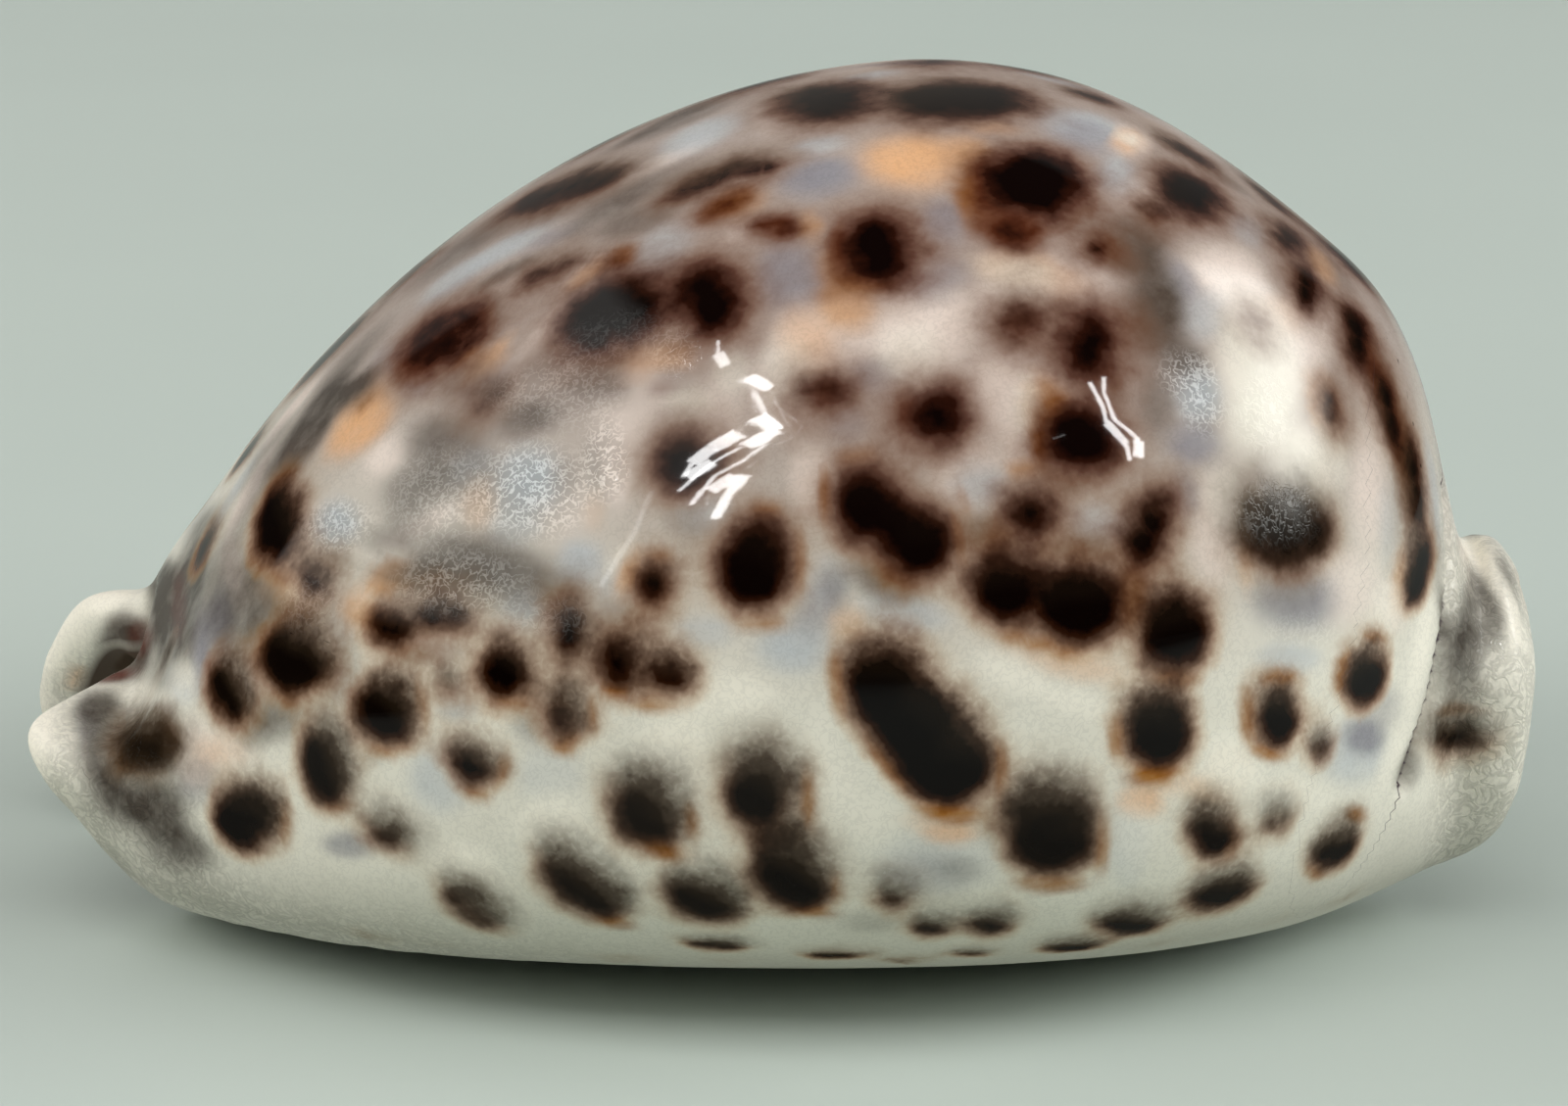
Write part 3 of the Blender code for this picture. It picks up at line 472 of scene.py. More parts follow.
        (-30.2, -9.4, 2, 3, 0.35), (-21.4, -5.8, 3.4, 1.4, 0.5), (-12.8, -2.4, 3, 3, 0.6),
        (-9.4, -4, 3, 2.6, 0.5), (-7.4, -3.4, 3, 1.2, 0.35), (33.6, 10.6, 1.6, 6.4, 0.8, 20),
        (35.2, 6, 1.4, 8, 0.9, 8), (31.4, 16, 1, 3.4, 0.4, 40), (29, 19.2, 4.4, 0.9, 0.8, -42),
        (25, 21.4, 4.4, 0.8, 0.5, -34), (39.4, -3.4, 2.8, 7.4, 0.75, -10),
        (37.6, -3.4, 0.8, 3.6, 0.9, 8), (35.7, -11.6, 0.9, 3.2, 0.9, -22), (38.6, -7.6, 2.4, 3, 0.4),
        (22.2, -7.4, 2.6, 1.2, 0.5), (-22, 15.4, 5.4, 0.6, 0.4, 40), (-0.7, -16, 3, 2.4, 0.4),
        (28.8, -2.2, 4.4, 3, 0.35), (-25.6, -0.4, 2.4, 1.8, 0.5), (18.4, 9.6, 2, 3.4, 0.5, 25),
        (-30.4, -1.4, 1.6, 2.4, 0.3), (-34, -16.6, 4, 2, 0.6, -30), (38.7, -5.6, 2, 7.4, 0.8, -8),
        (23, 11, 2.6, 2.4, 0.5), (10, -18, 3, 1.6, 0.3), (-14.6, -9.4, 2.4, 3, 0.35),
        (20, 18, 4.6, 3.4, 0.9, -20), (21.4, 14, 3.2, 6.4, 0.8, 12), (-18.8, 5.4, 5.4, 5, 0.55),
        (-15.2, 7.6, 3.6, 2.4, 0.5, 20), (-17, 9, 2.4, 1.8, 0.6, 20), (-18, 0, 7.4, 2.8, 0.75),
        (-26.4, 8, 7, 1.8, 0.9, 56), (-13.6, 11, 4.4, 2.4, 0.35, 30), (-4.6, 25.6, 6.4, 1.2, 0.7, 22),
        (-10.6, 18.8, 5.4, 1.8, 0.4, 22), (-15, -2.4, 7.4, 3.4, 0.4), (-21.4, 1.6, 3.4, 3, 0.4),
        (-30.6, -3.4, 2.4, 3, 0.3), (-37.6, -5.6, 3.4, 4, 1), (-35, -3, 2.8, 5.6, 0.9),
        (-35.4, -1.4, 2.4, 2.6, 0.7), (-33.6, -1.2, 1.4, 6, 1, -16), (-39, -8.8, 2.6, 2.4, 0.6),
        (-38.4, -11.4, 4.4, 4, 0.7), (-36.6, -14, 6.4, 4, 0.85, -25), (-36, -9.4, 3.4, 1.8, 0.5),
        (-33.2, 1, 1.6, 4.6, 0.7, -30), (-24, 13.4, 10, 1.4, 0.4, 44), (-17.4, 18.2, 7.4, 1.6, 0.4, 34),
        (-7.4, 21, 7.4, 1.6, 0.4, 25), (-29.4, 5.8, 6, 1.4, 0.4, 56), (-38.8, -9.2, 3.6, 3, 0.8),
        (-37.2, -13.4, 5.4, 5, 0.6), (-34.8, -16.6, 5, 3.4, 0.6, -32), (-36.6, -5.4, 1.8, 3.6, 0.7),
        (-34, -5, 1.4, 5, 0.6, -8), (-10.2, 11.2, 3.4, 1.8, 0.4, 20), (12, -15.4, 2, 3.6, 0.35),
        (-26.4, -8, 2, 4.6, 0.35), (-35, -4.4, 2.4, 5.4, 1), (-37.6, -4.6, 2.6, 3, 0.8),
        (-31.4, -2.4, 5.4, 9, 0.72, 14), (-29.6, -3, 3, 6, 0.5), (-28.6, -9.2, 3.6, 3.6, 0.75),
        (-30.2, -10.2, 2.4, 2.4, 0.5), (-34, -2, 2.4, 5, 0.9, -20), (-25, -6.8, 2.4, 5, 0.4),
        (-10.2, 10.8, 3.4, 2.6, 0.6, 20), (-8, 19, 6, 1.8, 0.7, 24), (-24.2, 9, 3.4, 1.6, 0.5, 44),
        (5, -21, 4, 1.4, 0.3), (-35.4, -7, 1.8, 2.4, 0.5), (-29.6, 4, 8, 1.6, 0.5, 60),
        (-25, 10.6, 8, 1.4, 0.5, 48), (-18.6, 17, 8, 1.6, 0.4, 34), (-9.6, 20, 6, 1.4, 0.5, 25),
        (-6, 24.6, 8, 1.2, 0.5, 22), (5.6, -1.6, 5, 2.6, 0.5, -30), (-5.6, 1.8, 3.4, 2.4, 0.4, -30),
        (20.6, -1, 4, 2, 0.4), (35.6, -12.4, 1.6, 2.6, 0.6, -20), (36.8, 0, 1.6, 5, 0.5),
        (-23.6, -11.6, 2, 1.6, 0.3), (-16.6, -1, 9, 2.6, 0.3), (17, 19, 2.4, 2.6, 0.5),
    ],
    "wine_and_shade": [      # deep red-brown; its thin patch at (-38.2, -7) is painted shade, the dark gap where the near flange hides the canal's floor
        (-0.5, 18.6, 3.2, 1.2, 1, 2), (-3.8, 19.5, 2.6, 1.1, 0.5, 27), (12.9, 18.5, 3.6, 2.2, 0.9, -5),
        (3.2, 17.2, 1.6, 3.4, 0.6), (-0.3, 25.4, 2.6, 1.6, 0.6), (-21, 10.8, 3.4, 2.4, 0.7, 36),
        (2, 9.2, 2.6, 1.8, 0.7, 8), (6.9, 8.2, 1.4, 3, 0.6), (11.2, 21.4, 1.6, 2.6, 0.7),
        (-22.8, -4, 2.4, 2.4, 0.6), (14.2, 18, 1.4, 1.2, 0.5), (33.5, 10.6, 0.9, 4.4, 0.8, 20),
        (13.4, 13.2, 2.2, 2, 0.5), (-7.4, -1.9, 2.6, 2.4, 0.5), (34.6, 7.4, 0.9, 4.4, 0.5, 12),
        (-35.2, -8.8, 1.8, 1, 0.5), (20.8, 19.6, 1.8, 1.2, 0.6, -15), (-12, -2.6, 2.4, 2.4, 0.3),
        (-31.8, -8.6, 2.6, 3.4, 0.3), (-19.8, 12.2, 5.4, 2.6, 0.8, 36), (11.4, 19.4, 2.2, 3.4, 0.7),
        (13.4, 18.4, 3.4, 2.6, 0.8), (3, 17.4, 1.2, 3.6, 0.6), (-6.4, 9.4, 3, 1.6, 0.5),
        (-38.2, -7, 3.4, 0.9, 0.9, 8), (-36.6, -4.8, 1.6, 2.4, 0.7), (-34.4, -3, 1, 4.4, 0.6),
        (-35, -10.6, 1.4, 3, 0.7),
    ],
    "milk": [      # thick pale glaze
        (39.4, 0, 1.4, 5, 1, 38), (41.5, -3.6, 0.9, 4.4, 0.8, 8), (36.3, -5.4, 1.2, 8.4, 0.8, -9),
        (27.4, 8.4, 4.4, 7, 1, -20), (16.4, -8.4, 6, 1.8, 0.7, -18), (26, -12.8, 3.4, 2.4, 0.7),
        (-2.6, -8.2, 5.4, 2.6, 0.7), (19.6, 23.6, 1.2, 1, 0.8), (34.6, -11.6, 1.2, 4.4, 0.6, -22),
        (2, -11, 2.4, 4, 0.4), (5, -15.4, 3, 3.4, 0.4), (34, -4, 2, 2, 0.4),
        (-9.4, -0.2, 0.9, 3, 0.5, -40), (-14.2, -15.6, 3.4, 2.4, 0.4), (29, -13.2, 2.4, 1.6, 0.4),
        (9.4, -6.6, 3, 1.6, 0.4, -30), (27, 12.4, 4, 6.4, 0.7, 28), (29.2, 5.4, 3.4, 4.6, 0.8),
        (-38.4, -2.4, 4, 1.6, 1, 28), (-40.6, -4.4, 2.2, 3.4, 1, 20), (-39.2, -2.6, 4.6, 1.8, 1, 28),
        (-41.4, -5.4, 2, 5.4, 1, -18), (-42.4, -10, 2.2, 6, 1, -4), (-34.2, -7, 1.8, 2.2, 0.5),
        (13.8, 8.4, 1.8, 4, 0.6, -8), (13.2, 16.2, 5, 2.2, 0.5, -6), (0.2, 10.2, 3.6, 4.4, 0.5),
        (7.2, 11.2, 4.4, 4, 0.5), (29.4, 4.6, 3.2, 4, 0.8), (27, 10.8, 5, 6, 0.8, 20),
        (-6, -11.2, 4.4, 6, 0.9), (-4, -8, 6, 3.4, 0.7), (-18.4, -17.8, 4, 3, 0.9),
        (-13, -15, 4, 3.4, 0.7), (12.8, -6.8, 5, 2.4, 0.7, -20), (25.2, -12, 3.4, 4, 0.8),
        (25, 3.2, 2.4, 4, 0.4), (3, -13.6, 3, 4.4, 0.5), (20, -16.2, 2.4, 5, 0.4),
        (-3, 10.4, 2.4, 3, 0.4), (34.4, -2.8, 2, 2.6, 0.5), (30, -14, 3, 2, 0.4), (29.6, 3, 4, 4, 0.8),
        (31.2, 6, 2, 5, 0.6, 10), (-17.8, -18.4, 5, 2.6, 0.8, -30), (-22, -14.8, 3, 2, 0.6, -30),
        (-28.6, -13, 3, 2, 0.5), (-6.6, -11.6, 4, 4.4, 0.8), (13.6, 15.4, 4, 3, 0.4),
        (-5.4, 8.6, 3, 2, 0.5),
    ],
    "frost_and_sheen": [      # painted sheen: pale hairs and a pale veil, the broken reflection of the panes in scuffed glaze, which is also raised in hairs
        (-14.4, 3.6, 7, 6, 1), (-10.2, 5.2, 3, 5, 0.9), (-25.4, 1.6, 4.4, 3.4, 0.8, 15),
        (-18.4, -1.6, 8.4, 4, 0.8), (-19.6, 3.4, 7.4, 6.4, 0.55, 20), (-12.8, 9, 9, 4.4, 0.45),
        (-10.4, 12, 7.4, 3, 0.25, 18), (23, 10.2, 3.6, 3, 1), (23.8, 8.2, 2.6, 3.4, 0.8),
        (28, 2.4, 5, 3.6, 0.6), (27.4, 8, 5, 6, 0.3), (-6.4, 11.4, 3.4, 3.4, 0.4),
        (-27, -2.8, 4.4, 3.4, 0.35), (-13.4, -3.6, 6.4, 2.4, 0.35), (29.6, -4.4, 6, 3, 0.3),
    ],
}

# Lines, drawn as a string of (across, up), with their width.
CRACKS = [
    ([(-29.9, -4.7), (-29.0, -4.5), (-27.9, -4.6), (-26.6, -4.9), (-25.2, -5.2)], 0.09),
    ([(34.9, 11.0), (35.6, 8.0), (36.2, 5.0), (36.7, 2.4), (36.8, 0.8)], 0.1),
    ([(36.6, 0.2), (36.3, -0.7), (35.8, -1.4)], 0.14),
    ([(-25.9, 9.2), (-24.6, 9.9), (-23.2, 10.9)], 0.07),
    ([(22.0, 21.0), (23.6, 20.5), (25.0, 19.7)], 0.06),
    ([(27.6, 19.0), (28.6, 18.0), (29.8, 17.3)], 0.06),
]
BACK_GROOVE = [(37.6, 3.6), (37.9, 0.6), (38.0, -1.4), (37.5, -5.4), (36.9, -8.4), (36.2, -10.6),
               (35.4, -13.0)]

FAR_OFF = 99.0          # a distance that no marking reaches
FOLDED = -33.0          # in front of this place the front flange folds over itself
NO_MARK = {"spot": -6.0, "crack": 9.0, "groove": 9.0}      # their values where there is none, not 0

# The sides that the drawing doesn't show get spots at random places.
UNSEEN_SEED = 7
UNSEEN_COUNT = 150      # at most
UNSEEN_GAP = 0.62       # least way between two middles, as a part of their sizes added up
UNSEEN_ENDS = 32.5      # they stop this far from the middle, before the flanges,
UNSEEN_LOWEST = 3.0     # and this far above the table
LIPS_TOP = 10.0         # below this, a surface that faces the slit is a lip's edge and stays bare
LOW_SPOTS = 14.0        # below this they are the smaller kind, as on the side that is drawn
UNSEEN_TINTS = (("blush", 9.0, -0.1), ("cloud", 8.0, 0.0), ("amber", 7.0, 0.1), ("smoke_and_shade", 8.0, 0.15))
#               tint, size of its drifts, and how high the noise has to be for the tint to start

GROOVE_HALF = 0.5       # half width of the groove
FOLD_SIZE, WAVE_SIZE = 1.5, 7.0     # of the wrinkles in the worn parts and the waves in the glaze


def sight():
    """The eye, and the ways across, up and forward of the drawing."""
    tilt = radians(SIGHT_TILT)
    across = np.array([1.0, 0.0, 0.0])
    up = np.array([0.0, sin(tilt), cos(tilt)])
    forward = np.array([0.0, cos(tilt), -sin(tilt)])
    return np.array(SIGHT_MIDDLE) - forward * SIGHT_DISTANCE, across, up, forward


class Surface:
    """The shell's surface in millimetres, as a grid of rings and columns, for drawing on."""

    def __init__(self, points, normals):
        self.points, self.normals = points, normals
        rings, count = points.shape[:2]
        ring, column = np.meshgrid(np.arange(rings - 1), np.arange(count), indexing="ij")
        corner = ring * count + column
        beside = ring * count + (column + 1) % count
        faces = np.stack([corner, corner + count, beside + count, beside], -1).reshape(-1, 4)
        self.tree = BVHTree.FromPolygons(points.reshape(-1, 3).tolist(), faces.tolist())
        down_way = np.gradient(points, axis=0)
        self.cell_area = length(np.cross(np.roll(points, -1, 1) - points, down_way))[..., 0]
        self.eye, self.across, self.up, self.forward = sight()
        offset = points - self.eye
        scale = SIGHT_DISTANCE / (offset @ self.forward)
        self.seen = np.stack([offset @ self.across * scale, offset @ self.up * scale], -1)
        self.facing = -(unit(offset) * normals).sum(-1)
        self.hidden = self.facing < 0

    def under(self, across, up):
        """The surface's point and normal under a place of the drawing."""
        way = Vector(self.forward * SIGHT_DISTANCE + self.across * across + self.up * up).normalized()
        place, _, _, _ = self.tree.ray_cast(Vector(self.eye), way)
        if place is None:
            raise RuntimeError("A marking's place is beside the shell")
        nearest = np.argmin(((self.points - np.array(place)) ** 2).sum(-1))
        return np.array(place), self.normals.reshape(-1, 3)[nearest]

    def patch(self, centre, normal, sides):
        """Each point's place across a patch with these half sides in the surface, and how far off."""
        offset = self.points - centre
        flat = offset - (offset @ normal)[..., None] * normal
        dual = np.linalg.pinv(np.stack(sides, -1))
        return flat @ dual.T, length(offset)[..., 0]

    def drawn_sides(self, centre, normal, wide, tall, tilt):
        """The half sides, in the surface, of an oval of the drawing."""
        toward = unit(self.eye - centre)
        scale = float(length(self.eye - centre)[0]) / SIGHT_DISTANCE
        facing = max(float(normal @ toward), 0.3)
        sides = []
        for size, turn in ((wide, tilt), (tall, tilt + 90)):
            side = scale * size / 2 * (cos(radians(turn)) * self.across + sin(radians(turn)) * self.up)
            sides.append(side - toward * float(side @ normal) / facing)
        return sides

    def drawn_patch(self, across, up, wide, tall, tilt=0):
        """Each point's place across an oval of the drawing, and how far off it is."""
        centre, normal = self.under(across, up)
        if across >= FOLDED:
            return self.patch(centre, normal, self.drawn_sides(centre, normal, wide, tall, tilt))
        c, s = cos(radians(tilt)), sin(radians(tilt))       # here the oval lies across all that is seen
        flat = (self.seen - (across, up)) @ np.array([[c, -s], [s, c]])
        beyond = self.hidden | (self.points[..., 0] > FOLDED + 6)
        return flat / (wide / 2, tall / 2), np.where(beyond, FAR_OFF, length(flat)[..., 0])


def smooth_steps(low, high, value):
    q = np.clip((value - low) / (high - low), 0, 1)
    return q * q * (3 - 2 * q)


def add_spot(fields, place, distance, size, softness, depth, veil):
    """Lay a spot: how far inside its edge each point is, in widths of a crisp edge, up to its depth."""
    reach, none, merging = 1.4 * size + 3, NO_MARK["spot"], 2.2
    ratio = length(place)[..., 0] + 1e-4
    inside = (distance + 4e-5 * reach) * (1 / ratio - 1) / softness
    inside = np.minimum(inside, depth + 0.25 * np.maximum(inside - depth, 0))
    inside = np.maximum(np.where(distance > reach, none, inside), none)
    fields["spot"] = np.logaddexp(merging * fields["spot"], merging * inside) / merging
    weight = np.where(distance > reach, 0.0, np.exp(-ratio ** 2))
    fields["veil_sum"] += weight * veil
    fields["veil_weight"] += weight


def add_cloud(field, place, distance, size, strength):
    """Lay a soft patch that fades over its whole size."""
    ratio = length(place)[..., 0]
    patch = strength * np.exp(-(ratio * 1.1) ** 4)
    return 1 - (1 - field) * (1 - np.where(distance > 1.6 * size, 0.0, patch))


def line_distance(surface, drawn):
    """Each point's signed distance, in millimetres, from a line of the drawing and past its ends."""
    path, normal = np.moveaxis(np.array([surface.under(*place) for place in drawn]), 1, 0)
    best = np.full(surface.points.shape[:2], NO_MARK["groove"])
    for start, stop, out in zip(path, path[1:], normal):
        along = unit(stop - start)
        side = unit(np.cross(out, along))
        offset = surface.points - start
        run = offset @ along
        past = np.maximum(np.maximum(-run, run - float(length(stop - start)[0])), 0)
        off = offset @ side
        depth = offset @ out
        total = np.sqrt(off ** 2 + past ** 2 + 0.2 * depth ** 2)
        best = np.where(total < np.abs(best), np.where(off < 0, -total, total), best)
    return best


def unseen_places(surface, rng, taken):
    """Random places, each with a size, clear of those taken, where the drawing shows no shell."""
    allowed = ((surface.facing < 0.12) & (surface.points[..., 2] > UNSEEN_LOWEST)
               & (np.abs(surface.points[..., 0]) < UNSEEN_ENDS))
    choice = np.argwhere(allowed)
    area = surface.cell_area[allowed]
    order = rng.choice(len(choice), size=min(6000, len(choice)), replace=False, p=area / area.sum())
    places = []
    for ring, column in choice[order]:
        point = surface.points[ring, column]
        size = rng.uniform(2.2, 4.6) if point[2] < LOW_SPOTS else rng.uniform(3.0, 7.4)
        if all(np.linalg.norm(point - other) > UNSEEN_GAP * (size + width)
               for other, width in taken + places):
            places.append((point, size))
            yield point, surface.normals[ring, column], size
        if len(places) >= UNSEEN_COUNT:
            return


# ---------------------------------------------------------------- building the shell

def shell_table():
    """Every ring of the closed sheet, from beside the top of the dome to beside the hollow's top."""
    turns = columns(COLUMNS_A_TOOTH)
    outside = outside_rings(ring_climbs(OUTER_RINGS), turns)
    hollow = sheet(HOLLOW, ring_climbs(INNER_RINGS), turns)[0]
    return np.concatenate([outside[::-1], lip_rings(LIP_RINGS, turns), hollow]) + ALONG


def table_normals(table):
    round_way = np.roll(table, -1, 1) - np.roll(table, 1, 1)
    down_way = np.gradient(table, axis=0)
    return unit(np.cross(down_way, round_way))


def ripples(points, size, stretch=(1.0, 1.0, 1.0)):
    """Smooth noise from -1 to 1 with features of this size, at each point."""
    scaled = (points * np.array(stretch) / size).reshape(-1, 3)
    return np.array([noise.noise(Vector(place)) for place in scaled]).reshape(points.shape[:-1])


def worn_parts(points):
    """Where the glaze is wrinkled: 1 on the flanges and the front of the lower margin, 0 elsewhere."""
    x, _, z = np.moveaxis(points, -1, 0)
    front = smooth_steps(-25, -35, x) * smooth_steps(15, 10, z)
    painted_low_shade = smooth_steps(0, -22, x) * smooth_steps(9, 3, z)
    back = smooth_steps(35.5, 38.0, x)
    return np.clip(front + painted_low_shade + back, 0, 1)


def draw_markings(surface):
    """The shell's markings and zones as numbers at every point of its outside."""
    points = surface.points
    shape = points.shape[:2]
    fields = {"spot": np.full(shape, NO_MARK["spot"]), "veil_sum": np.zeros(shape),
              "veil_weight": np.full(shape, 1e-3)}
    taken = []
    for across, up, wide, tall, softness, depth, veil, *tilt in SPOTS:
        size = max(wide, tall)
        oval = surface.drawn_patch(across, up, wide, tall, *tilt)
        add_spot(fields, *oval, size, softness, depth, veil)
        taken.append((surface.under(across, up)[0], size))
    rng = np.random.default_rng(UNSEEN_SEED)
    for point, normal, size in unseen_places(surface, rng, taken):
        along = unit(np.cross(normal, rng.normal(size=3)))
        sides = [side * size * rng.uniform(0.42, 0.6) for side in (along, np.cross(normal, along))]
        high = float(smooth_steps(24, 40, point[2]))
        looks = (1 + 0.7 * high + rng.uniform(0, 0.3), rng.uniform(1.3, 2.3) - 0.6 * high,
                 rng.uniform(0, 0.3) + 0.2 * (1 - high))
        if point[2] > LIPS_TOP or point[1] * normal[1] > 0:
            add_spot(fields, *surface.patch(point, normal, sides), size, *looks)
    marks = {"spot": fields["spot"], "veil": fields["veil_sum"] / fields["veil_weight"]}
    step = length(np.gradient(points, axis=0))[..., 0]
    marks["lean"] = np.clip(-np.gradient(marks["spot"], axis=0) / np.maximum(step, 0.02), -1, 1)
    for name, patches in TINTS.items():
        field = np.zeros(shape)
        for across, up, wide, tall, strength, *tilt in patches:
            oval = surface.drawn_patch(across, up, wide, tall, *tilt)
            field = add_cloud(field, *oval, max(wide, tall), strength)
        marks[name] = field
    unseen = smooth_steps(0.25, -0.1, surface.facing) * smooth_steps(10, 26, points[..., 2])
    for name, size, start in UNSEEN_TINTS:
        drift = ripples(points + 40 * len(marks), size)
        marks[name] = np.maximum(marks[name], 0.8 * unseen * smooth_steps(start, start + 0.45, drift))
    cracks = [np.abs(line_distance(surface, drawn)) / wide for drawn, wide in CRACKS]
    marks["crack"] = np.min(cracks, axis=0)
    marks["groove"] = line_distance(surface, BACK_GROOVE)
    marks["worn"] = worn_parts(points)
    under = smooth_steps(-0.35, -0.8, surface.normals[..., 2]) * smooth_steps(5.0, 2.0, points[..., 2])
    marks["pale"] = under
    marks["spot"] = marks["spot"] - 5 * under
    return marks


def add_relief(points, normals, marks, sizes):
    """The outside's points moved by its groove, its wrinkles and the slow waves of its glaze."""
    groove = -sizes.groove_depth / MM * np.exp(-(marks["groove"] / GROOVE_HALF) ** 2)
    folds = sizes.wrinkle_height / MM * marks["worn"] * ripples(points, FOLD_SIZE, (1.0, 1.0, 0.7))
    waves = sizes.wave_height / MM * ripples(points, WAVE_SIZE)
    moved = points + normals * (groove + folds + waves)[..., None]
    moved[..., 2] = np.where(points[..., 2] <= 0.02, points[..., 2], np.maximum(moved[..., 2], 0))
    return moved


def draw_out(sphere, table, top, bottom, marks):
    """Move a sphere primitive's points to the table's places, and give them the marks as attributes."""
    mesh = sphere.data
    ball = np.empty(len(mesh.vertices) * 3)
    mesh.vertices.foreach_get("co", ball)
    ball = ball.reshape(-1, 3)
    rings, count = table.shape[:2]
    ring = np.rint(np.arccos(np.clip(ball[:, 2], -1, 1)) / pi * (rings + 1)).astype(int) - 1
    angle = np.arctan2(ball[:, 1], ball[:, 0])
    first = angle[np.argmax(ring == rings // 2)]
    column = np.rint((angle - first) / (2 * pi / count)).astype(int) % count
    inner = (ring >= 0) & (ring < rings)
    places = np.where((ring < 0)[:, None], top, bottom).astype(float)
    places[inner] = table[ring[inner], column[inner]]
    mesh.vertices.foreach_set("co", (places * MM).ravel())
    for name, field in marks.items():
        values = np.full(len(ball), NO_MARK.get(name, 0.0))
        outer = inner & (ring < len(field))
        values[outer] = field[ring[outer], column[outer]]
        values[ring < 0] = field[0].mean()
        attribute = mesh.attributes.new(name, "FLOAT", "POINT")
        attribute.data.foreach_set("value", values.astype(np.float32))
    # The lining starts at the rounded edge in the front canal, where its dark colour is partly painted
    # shade, and down the slit's wall behind it.
    behind = smooth_steps(-36.0, -30.0, places[:, 0])
    start = OUTER_RINGS - 1 + behind
    lined = smooth_steps(start, start + 0.5 + LIP_RINGS * 0.6 * behind, ring.astype(float))
    mesh.attributes.new("inside", "FLOAT", "POINT").data.foreach_set("value", lined.astype(np.float32))
    mesh.update()


# ---------------------------------------------------------------- materials

def hex_colour(text):
    """A linear colour from an sRGB hex value."""
    values = [int(text[i:i + 2], 16) / 255 for i in (1, 3, 5)]
    return (*((v / 12.92 if v <= 0.04045 else ((v + 0.055) / 1.055) ** 2.4) for v in values), 1.0)


def add(tree, kind, sockets=None, stops=None, **settings):
    """Add a node with its settings. Sockets get a value, an output, or a node's first output in use."""
    node = tree.nodes.new(kind)
    for name, value in settings.items():
        setattr(node, name, value)
    for key, value in (sockets or {}).items():
        if isinstance(value, bpy.types.Node):
            value = next(output for output in value.outputs if output.enabled)
        if isinstance(value, bpy.types.NodeSocket):
            tree.links.new(value, node.inputs[key])
        else:
            node.inputs[key].default_value = value
    if stops:
        elements = node.color_ramp.elements
        while len(elements) < len(stops):
            elements.new(0.5)
        for element, (position, colour, alpha) in zip(elements, stops):
            element.position = position
            element.color = (*hex_colour(colour)[:3], alpha)
    return node


def cleared_tree(owner):
    """The node tree of a material or a world, with nothing in it yet."""
    owner.use_nodes = True
    owner.node_tree.nodes.clear()
    return owner.node_tree


